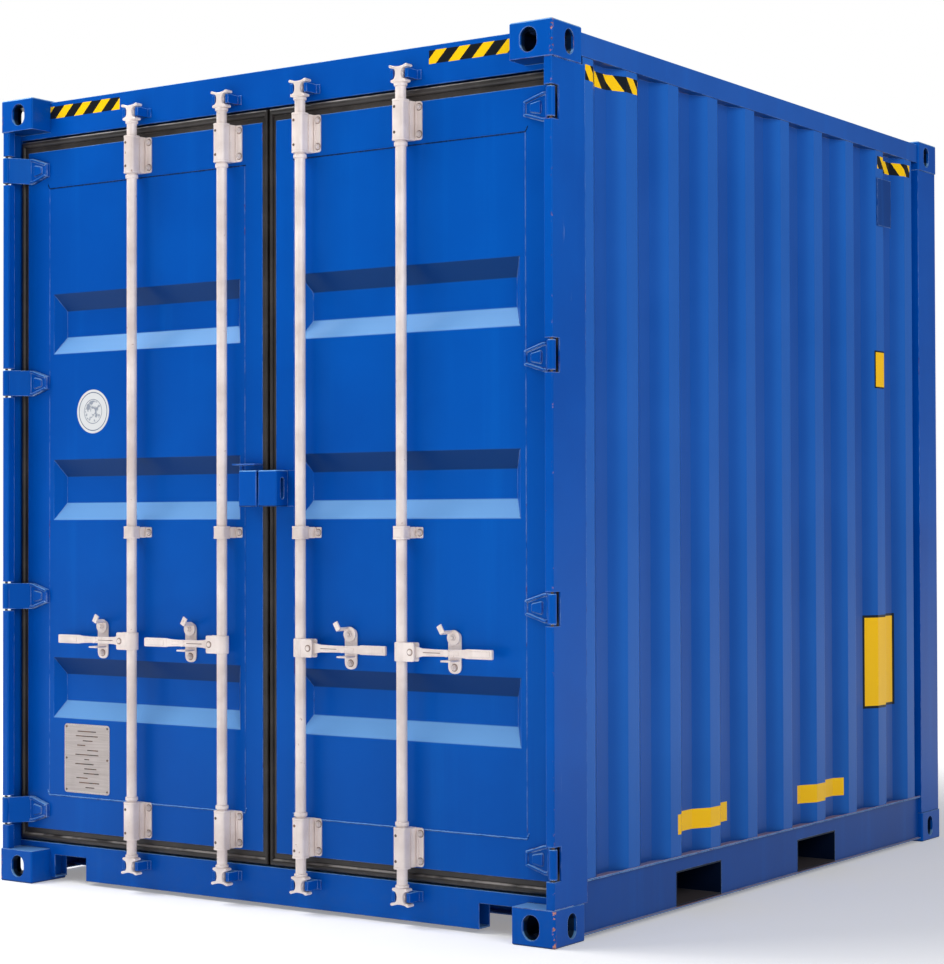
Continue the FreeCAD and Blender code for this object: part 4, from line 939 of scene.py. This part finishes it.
def handle_shape(x):
    """A flat arm with a rib, a round boss where the catch falls, and a thicker grip."""
    heel_radius, grip, tip = 0.018, 0.255, 0.360
    turns = [math.radians(a) for a in range(90, 271, 15)]
    heel = [(HUB_REACH + heel_radius * math.cos(a), heel_radius * math.sin(a)) for a in turns]
    under = [
        (0.064, -0.0172), (0.086, -0.0128), (0.150, -0.0112),
        (0.205, -0.0112), (0.240, -0.0130), (0.262, -0.0150),
    ]
    loop = heel + under + [(0.352, -0.0150), (0.352, 0.0150)] + [(u, -v) for u, v in reversed(under)]
    loop = [(x + u, HANDLE_Z + v) for u, v in loop]
    parts = [prism(loop, "y", BAR_Y - 0.005, BAR_Y + 0.005, 2.0 * MM, 3)]
    rib = plate_outline(x + 0.165, HANDLE_Z, 0.066, 0.0052, 0.005)
    parts.append(prism(rib, "y", BAR_Y - 0.0072, BAR_Y - 0.004, 1.4 * MM))
    boss = [(0.0120, 0.0040), (0.0120, 0.0072), (0.0098, 0.0086), (0.0040, 0.0090)]
    parts.append(turned([(r, BAR_Y - t) for r, t in boss], "y", x + CATCH_REACH, HANDLE_Z, 24))
    middle, half = x + (grip + tip) / 2, (tip - grip) / 2
    pad = plate_outline(middle, HANDLE_Z, half, 0.0155, 0.004)
    parts.append(prism(pad, "y", BAR_Y - 0.0065, BAR_Y + 0.0065, 2.4 * MM, 3))
    pad = plate_outline(middle + 0.002, HANDLE_Z, half - 0.010, 0.0092, 0.003)
    parts.append(prism(pad, "y", BAR_Y - 0.0082, BAR_Y - 0.005, 1.2 * MM))
    return gather(parts)


def bracket_shape(x, z, half_height):
    """A plate with a ridge each side of a rounded housing, which has a lip at each end."""
    y = BAR_Y
    lip = 0.007
    foot, head = z - half_height, z + half_height
    bore = circle(x, y, 0.0188)
    parts = [band(squircle(x, y, 0.0235), bore, "z", foot + lip * 0.6, head - lip * 0.6, 1.0 * MM)]
    for start, end in ((foot, foot + lip), (head - lip, head)):
        parts.append(band(squircle(x, y, 0.0255, power=3.0), bore, "z", start, end, 1.6 * MM))
    near, far = y + 0.0192, FACE - 0.003
    cheeks = [(x - 0.0235, near), (x + 0.0235, near), (x + 0.0270, far), (x - 0.0270, far)]
    parts.append(prism(cheeks, "z", foot + 0.003, head - 0.003, 1.2 * MM))
    corner = 0.010 if half_height == HOUSING_HALF else 0.004
    plate = plate_outline(x, z, 0.0550, half_height - 0.004, corner)
    parts.append(prism(plate, "y", FACE - 0.0060, FACE, 1.5 * MM))
    for way in (1, -1):
        ridge = plate_outline(x + way * 0.0330, z, 0.0032, half_height - 0.014, 0.003)
        parts.append(prism(ridge, "y", FACE - 0.0100, FACE - 0.005, 1.8 * MM))
    return parts


def brackets_shape():
    """Two housings and a guide for each of a leaf's bars."""
    parts = []
    for x in BAR_X.values():
        for z, half in BRACKETS:
            parts += bracket_shape(x, z, half)
    return gather(parts)


def rests_shape():
    """Round-ended plates, each with the ledge that its handle lies on and the catch's pivot bolt."""
    parts = []
    for x in BAR_X.values():
        place = x + CATCH_REACH
        plate = plate_outline(place, HANDLE_Z, 0.026, 0.069, 0.026, 9)
        parts.append(prism(plate, "y", FACE - 0.006, FACE, 2.2 * MM, 3))
        head = HANDLE_Z - 0.023
        foot = head - 0.006
        shelf = [(place - 0.020, foot), (place + 0.020, foot), (place + 0.020, head), (place - 0.020, head)]
        parts.append(prism(shelf, "y", BAR_Y - 0.011, FACE - 0.004, 1.6 * MM))
        pivot = HANDLE_Z + REST_BOLT
        front = FACE - 0.020
        parts.append(turned([(0.007, front), (0.007, FACE - 0.003)], "y", place, pivot, 20))
        parts.append(prism(circle(place, pivot, 0.0112, 6), "y", front, front + 0.0058, 1.0 * MM))
        tip = [(0.0050, front - 0.0028), (0.0055, front - 0.0018), (0.0055, front + 0.001)]
        parts.append(turned(tip, "y", place, pivot, 16))
    return gather(parts)


def blades_shape(side):
    """The forged straps: the CAD's bent pad, with a round barrel, a raised rim and a raised centre."""
    whole = bevel(copy_of(side + "_hinge_blades"), 2.2 * MM, sharp(40.0, 0.02))
    parts = []
    pin_x, pin_y = SIDE - 0.0145, FRONT + 0.0145
    face, sunk = FACE - 0.012, 0.002
    for z in HINGES:
        half = [(0.0054, 0.0475), (0.0115, 0.0475), (0.0138, 0.0455)]
        barrel = [(r, z - t) for r, t in half] + [(r, z + t) for r, t in reversed(half)]
        parts.append(turned(barrel, "z", pin_x, pin_y, 32, hollow=True))
        edge = [(-0.060, 0.0455), (-0.0725, 0.0455), (-0.1435, 0.0225)]
        inner = [(-0.060, 0.0365), (-0.0710, 0.0365), (-0.1335, 0.0165)]
        for sign in (1, -1):
            strip = [(pin_x + u, z + sign * v) for u, v in edge + inner[::-1]]
            parts.append(prism(strip, "y", face - 0.0058, face + sunk, 2.4 * MM, 3))
        tip = [(-0.1435, 0.0225), (-0.1435, -0.0225), (-0.1350, -0.0180), (-0.1350, 0.0180)]
        tip = [(pin_x + u, z + v) for u, v in tip]
        parts.append(prism(tip, "y", face - 0.0046, face + sunk, 2.0 * MM, 3))
        pad = rounded([(-0.1180, -0.0130), (-0.0780, -0.0215), (-0.0780, 0.0215), (-0.1180, 0.0130)], 0.006)
        pad = [(pin_x + u, z + v) for u, v in pad]
        parts.append(prism(pad, "y", face - 0.0052, face + sunk, 2.4 * MM, 3))
    return gather([whole, handed(side, gather(parts))])


# across the strip from the leaf to the post: (share of the width, depth behind the leaf's face in mm)
LIP = [
    (0.00, 50.0), (0.00, 1.4), (0.02, 0.8), (0.10, 0.4), (0.34, 0.6), (0.38, 1.6), (0.40, 4.0),
    (0.43, 4.0), (0.45, 1.0), (0.49, -2.4), (0.55, -5.0), (0.63, -6.7), (0.71, -7.2), (0.79, -6.6),
    (0.87, -4.6), (0.93, -1.2), (0.97, 4.0), (1.00, 11.0), (1.00, 48.0), (0.94, 51.0),
]


def corners_of(left, right, foot, head):
    return [(left, foot), (right, foot), (right, head), (left, head)]


def gasket_shape():
    """A rubber strip round the leaf: a flat ribbed foot, and a round lip that bulges over the gap."""
    steel_low, steel_high = low("right_door_frame"), high("right_door_frame")
    rubber_low, rubber_high = low("right_door_gasket"), high("right_door_gasket")
    inner = corners_of(0.0300, steel_high.x, steel_low.z, steel_high.z)
    outer = corners_of(rubber_low.x, rubber_high.x, rubber_low.z, rubber_high.z)
    rows = []
    for share, depth in LIP:
        row = []
        for (ax, az), (bx, bz) in zip(inner, outer):
            if bx < 0.02 and depth < 6.0:
                bx = 0.0035
            row.append((ax + (bx - ax) * share, FACE + depth * MM, az + (bz - az) * share))
        rows.append(row)
    return skin(rows, closed=True)


def lock_box_shape(node):
    """The padlock box with its outer edges folded round, not sharp."""
    work = copy_of(node)
    front = low(node).y + 0.003

    def outside(e):
        a, b = e.verts[0].co, e.verts[1].co
        end = min(a.y, b.y) < front and max(abs(a.x), abs(b.x)) > 0.08
        head = max(a.y, b.y) < front and min(a.z, b.z) > 1.49 and e.calc_length() > 0.05
        return turn(e) > 60.0 and (end or head)

    bevel(work, 4.6 * MM, outside, 4)
    return bevel(work, 1.0 * MM, sharp(60.0, 0.004))


def data_plate_shape():
    """A thin plate with round corners and a raised rim; its blank ruled fields are drawn by
    plate_rules_shape.
    """
    a, b = low("data_plate"), high("data_plate")
    x, z = (a.x + b.x) / 2, (a.z + b.z) / 2
    half_x, half_z = (b.x - a.x) / 2, (b.z - a.z) / 2
    parts = [prism(plate_outline(x, z, half_x, half_z, 0.014), "y", b.y - 0.0016, b.y, 0.5 * MM)]
    rim = plate_outline(x, z, half_x - 0.002, half_z - 0.002, 0.013)
    inside = plate_outline(x, z, half_x - 0.0055, half_z - 0.0055, 0.010)
    parts.append(band(rim, inside, "y", b.y - 0.0028, b.y - 0.001, 0.5 * MM))
    return gather(parts)


RULE_PITCH = 0.017
# the data plate's rules: how far each lies off the middle, and half its length
RULES = [
    (0.0, 0.046), (0.0, 0.055), (0.004, 0.024), (-0.028, 0.020), (0.030, 0.027), (0.0, 0.058), (0.0, 0.012),
    (-0.012, 0.046), (0.018, 0.030), (0.022, 0.038), (-0.024, 0.028), (0.012, 0.050), (0.016, 0.022),
]


def plate_rules_shape():
    """Blank dark rules across the data plate, one to a row."""
    a, b = low("data_plate"), high("data_plate")
    middle, top = (a.x + b.x) / 2, b.z
    parts = []
    for row, (shift, reach) in enumerate(RULES):
        z = top - 0.026 - RULE_PITCH * row
        line = plate_outline(middle + shift, z, reach, 0.0018, 0.0006, 2)
        parts.append(prism(line, "y", b.y - 0.0021, b.y - 0.0012))
    return gather(parts)


for side in ("right", "left"):
    for place, x in BAR_X.items():
        refined("%s_%s_bar" % (side, place), handed(side, bar_shape(x)), ZINC)
        refined("%s_%s_cams" % (side, place), handed(side, cams_shape(x)), ZINC)
        refined("%s_%s_handle" % (side, place), handed(side, handle_shape(x)), HANDLE_ZINC)
    refined(side + "_bar_brackets", handed(side, brackets_shape()), ZINC)
    refined(side + "_handle_rests", handed(side, rests_shape()), ZINC)
    refined(side + "_hinge_blades", blades_shape(side), BLUE_BLADE)
    refined(side + "_door_gasket", handed(side, gasket_shape()), RUBBER)
    refined(side + "_lock_shroud", lock_box_shape(side + "_lock_shroud"), BLUE)
refined("data_plate", data_plate_shape(), PLATE)
piece("data_plate_rules", plate_rules_shape(), "left_door", "plate", STEEL)

# ---- the box ------------------------------------------------------------------------------------


def upright_front(e):
    """The doors' posts: the two upright edges at the very front."""
    a, b = e.verts[0].co, e.verts[1].co
    return turn(e) > 60.0 and abs(a.z - b.z) > 0.05 and max(a.y, b.y) < FRONT + 0.02


def casting_edge(e):
    """The level outer edges of a corner casting, top and bottom."""
    ends = [vert.co for vert in e.verts]
    level = all(end.z < 0.001 for end in ends) or all(end.z > TOP - 0.001 for end in ends)
    return turn(e) > 60.0 and level and all(on_rim(end) for end in ends)


def on_rim(place):
    """Whether a place lies on the outline of a corner casting, seen from above."""
    across = min(SIDE - abs(place.x), abs(place.x) - (SIDE - CASTING_WIDTH))
    along = min(BACK - abs(place.y), abs(place.y) - (BACK - CASTING_LENGTH))
    return min(across, along) < 0.0075


def box_piece(node, width, finish, choose=None, segments=2):
    refined(node, bevel(copy_of(node), width * MM, choose or sharp(), segments), finish)


for node in ("top_corner_castings", "bottom_corner_castings"):
    work = bevel(copy_of(node), 6.0 * MM, casting_edge, 4, False)
    refined(node, bevel(work, 2.6 * MM, sharp(60.0, 0.0005)), BLUE_CASTING)
work = bevel(copy_of("door_posts"), 6.0 * MM, upright_front, 4)
refined("door_posts", bevel(work, 1.8 * MM, sharp(60.0, 0.004)), BLUE_POST)

for node, width, finish, choose in (
    ("back_posts", 2.5, BLUE, None),
    ("door_header", 2.6, BLUE_HEADER, None),
    ("door_sill", 2.6, BLUE, None),
    ("back_header", 1.8, BLUE, None),
    ("back_sill", 1.8, BLUE, None),
    ("top_rails", 2.4, BLUE_TOP_RAIL, None),
    ("bottom_rails", 2.0, BLUE_RAIL, None),
    ("right_side_wall", 9.0, BLUE_WALL, fold),
    ("left_side_wall", 9.0, BLUE_WALL, fold),
    ("end_wall", 9.0, BLUE_TOP_RAIL, fold),
    ("roof_panel", 6.0, BLUE_ROOF, fold),
    ("fork_pockets", 1.5, BLUE_POCKET, None),
    ("vent_covers", 0.8, BLUE_VENT_SHADE, None),
    ("cam_keepers", 1.6, BLUE, None),
    ("right_door_frame", 1.8, BLUE, None),
    ("left_door_frame", 1.8, BLUE_LEFT_LEAF, None),
    ("right_door_panel", 9.0, BLUE, fold),
    ("left_door_panel", 9.0, BLUE_LEFT_LEAF, fold),
):
    box_piece(node, width, finish, choose)
for side in ("right", "left"):
    for place in ("outer", "inner"):
        box_piece("%s_%s_catch" % (side, place), 1.4, ZINC)

for node, finish in (("floor_boards", WOOD), ("cross_members", BLUE), ("hinge_pins", STEEL)):
    mesh = frame["nodes"][node].data
    mesh.materials.clear()
    mesh.materials.append(finish)

# ---- bolts, rivets and weld beads ---------------------------------------------------------------

bolts, rivets, welds = bolt_recipe(), rivet_recipe(), weld_recipe()


def gear_bolts(way):
    """Places for the bolts of a leaf's brackets and handle rests."""
    spots = []
    for x in BAR_X.values():
        for z, half in BRACKETS:
            for across in (-0.0445, 0.0445):
                for up in (-0.045, 0.045) if half == HOUSING_HALF else (0.0,):
                    spots.append((way * (x + across), FACE - 0.0060, z + up))
        spots.append((way * (x + CATCH_REACH), FACE - 0.0060, HANDLE_Z - REST_BOLT))
    return spots


def housing_rivets(way):
    """Places for the two small rivets on each housing."""
    spots = []
    for x in BAR_X.values():
        for z, half in BRACKETS[:2]:
            spots += [(way * x - 0.0095, BAR_Y - 0.0231, z + up) for up in (-0.042, 0.042)]
    return spots


def plate_rivets():
    """Places for the data plate's six rivets, three up each side."""
    a, b = low("data_plate"), high("data_plate")
    inset = 0.011
    heights = (a.z + inset, (a.z + b.z) / 2, b.z - inset)
    return [(x, b.y - 0.0016, z) for x in (a.x + inset, b.x - inset) for z in heights]


def line(points):
    return points, [(i, i + 1) for i in range(len(points) - 1)]


def many(lines):
    """Several lines as one set of points and runs."""
    points, runs = [], []
    for shape in lines:
        start = len(points)
        spots, steps = line(shape)
        points += spots
        runs += [(a + start, b + start) for a, b in steps]
    return points, runs


def leaf_welds(way):
    """Seams along the pressed sheet's foot, hooked at both ends, and its head, hooked at one."""
    panel_low, panel_high = low("right_door_panel"), high("right_door_panel")
    a, b = panel_low.x, panel_high.x
    bottom, top = panel_low.z, panel_high.z
    foot = [(a - 0.004, bottom + 0.012), (a, bottom), (b, bottom), (b + 0.006, bottom + 0.014)]
    head = [(a, top), (b, top), (b + 0.008, top + 0.014)]
    return [line([(way * x, FACE + 0.0002, z) for x, z in seam]) for seam in (foot, head)]


def box_welds():
    """Seams at the castings and along the foot of each side wall."""
    lines = []
    for way in (1, -1):
        x = way * (WALL_FACE + 0.0005)
        lines.append([(x, FRONT + 0.20, 0.1865), (x, BACK - 0.13, 0.1865)])
        post = way * (SIDE - 0.0045)
        for z in (low("door_posts").z, high("door_posts").z):
            lines.append([(post, FRONT + 0.012, z), (post, FRONT + 0.110, z)])
    return many(lines)


for side, way in (("right", 1), ("left", -1)):
    for place, x in BAR_X.items():
        hub = [(way * (x + HUB_REACH), BAR_Y - 0.0180, HANDLE_Z)]
        # A flat dark disc round each hub.
        dark_ring = {"Finish": DARK_RING_ZINC, "Radius": 0.0120, "Flatness": 0.10}
        name = "%s_%s" % (side, place)
        rivets.run(name + "_hub_washer", hub, [], dark_ring, BODY_OF[name + "_bar"], "galvanised")
    body = side + "_door"
    sizes = {"Head Radius": 0.0085, "Head Height": 0.0075, "Washer Radius": 0.0100}
    values = {"Finish": BOLT_ZINC, **sizes}
    bolts.run(side + "_gear_bolts", gear_bolts(way), [], values, body, "galvanised")
    # A flat dark disc round each bolt.
    dark_rings = {"Finish": DARK_RING_ZINC, "Radius": 0.0130, "Flatness": 0.13}
    rivets.run(side + "_gear_washers", gear_bolts(way), [], dark_rings, body, "galvanised")
    values = {"Finish": STEEL, "Radius": 0.0050}
    rivets.run(side + "_housing_rivets", housing_rivets(way), [], values, body, "galvanised")
    (points, runs), (head_points, head_runs) = leaf_welds(way)
    values = {"Finish": BLUE, "Radius": 0.0028, "Stretch": 2.2}
    welds.run(side + "_foot_weld", points, runs, values, body, "blue_paint")
    values = {"Finish": BLUE_SEAM, "Radius": 0.0024, "Stretch": 2.2}
    welds.run(side + "_head_weld", head_points, head_runs, values, body, "blue_paint")
values = {"Finish": STEEL, "Radius": 0.0042}
rivets.run("data_plate_rivets", plate_rivets(), [], values, "left_door", "plate")
points, runs = box_welds()
values = {"Finish": BLUE_RAIL, "Radius": 0.0034, "Stretch": 2.0, "Step": 0.009}
welds.run("box_welds", points, runs, values, "container", "blue_paint")

# ---- stage, light and camera --------------------------------------------------------------------


def stage_floor():
    """A white floor that glows more the farther it is from the part, so it fades into the air."""
    f = Finish("studio_floor")
    grain = f.noise(3.0, 2.0)
    colour = f.blend(grain * 0.15, (0.94, 0.94, 0.94), (0.90, 0.90, 0.90))
    away = ((f.x * f.x + f.y * f.y) ** 0.5).clear(1.8, 6.0)
    glow = f.blend(away, (0.26, 0.26, 0.26), (0.85, 0.85, 0.85))
    material = f.surface(colour, 0.85, glow=glow)
    work = bmesh.new()
    bmesh.ops.create_grid(work, x_segments=1, y_segments=1, size=60.0)
    mesh = bpy.data.meshes.new("studio_floor")
    work.to_mesh(mesh)
    work.free()
    floor = bpy.data.objects.new("studio_floor", mesh)
    bpy.context.scene.collection.objects.link(floor)
    mesh.materials.append(material)


def area_light(name, place, aim, width, power, glossy=True):
    lamp = bpy.data.lights.new(name, "AREA")
    lamp.shape = "SQUARE"
    lamp.size = width
    lamp.energy = power
    made = bpy.data.objects.new(name, lamp)
    bpy.context.scene.collection.objects.link(made)
    made.visible_glossy = glossy
    made.location = place
    made.rotation_euler = (Vector(aim) - Vector(place)).to_track_quat("-Z", "Y").to_euler()


def studio_air():
    """Air that lights the part only faintly, but shows as white behind it."""
    air = bpy.data.worlds.new("studio_air")
    air.use_nodes = True
    making = Making()
    making.tree = air.node_tree
    making.tree.nodes.clear()
    seen = making.node("ShaderNodeLightPath")
    faint = making.node("ShaderNodeBackground", {}, {"Color": (*WHITE, 1.0), "Strength": 0.2})
    bright = making.node("ShaderNodeBackground", {}, {"Color": (*WHITE, 1.0), "Strength": 1.0})
    both = making.node("ShaderNodeMixShader", {}, {0: seen, 1: faint, 2: bright})
    out = making.tree.nodes.new("ShaderNodeOutputWorld")
    making.tree.links.new(both.socket, out.inputs["Surface"])
    bpy.context.scene.world = air


def studio_camera():
    azimuth = math.radians(34.692)
    rise = math.radians(0.998)
    roll = math.radians(-0.146)
    level = math.cos(rise)
    ahead = Vector((-math.sin(azimuth) * level, math.cos(azimuth) * level, math.sin(rise)))
    spin = Matrix.Rotation(roll, 4, "Z").to_quaternion()
    data = bpy.data.cameras.new("camera")
    data.sensor_width = 36.0
    data.lens = 83.9
    data.clip_end = 200.0
    camera = bpy.data.objects.new("camera", data)
    bpy.context.scene.collection.objects.link(camera)
    camera.location = (4.9775, -7.3682, 1.3262)
    camera.rotation_mode = "QUATERNION"
    camera.rotation_quaternion = ahead.to_track_quat("-Z", "Y") @ spin
    bpy.context.scene.camera = camera


stage_floor()
area_light("key_light", (-4.8, -5.6, 7.8), (0.0, -1.2, 1.4), 4.2, 290.0, False)
area_light("sky_light", (-3.7, -1.9, 7.0), (0.0, -1.3, 1.6), 3.6, 300.0)
area_light("side_light", (8.5, -4.7, 5.5), (1.2, 0.0, 1.3), 5.0, 335.0)
area_light("front_light", (-2.5, -12.0, 3.0), (0.0, -1.4, 1.3), 3.0, 95.0, False)
studio_air()
bpy.context.scene.view_settings.view_transform = "Standard"
studio_camera()
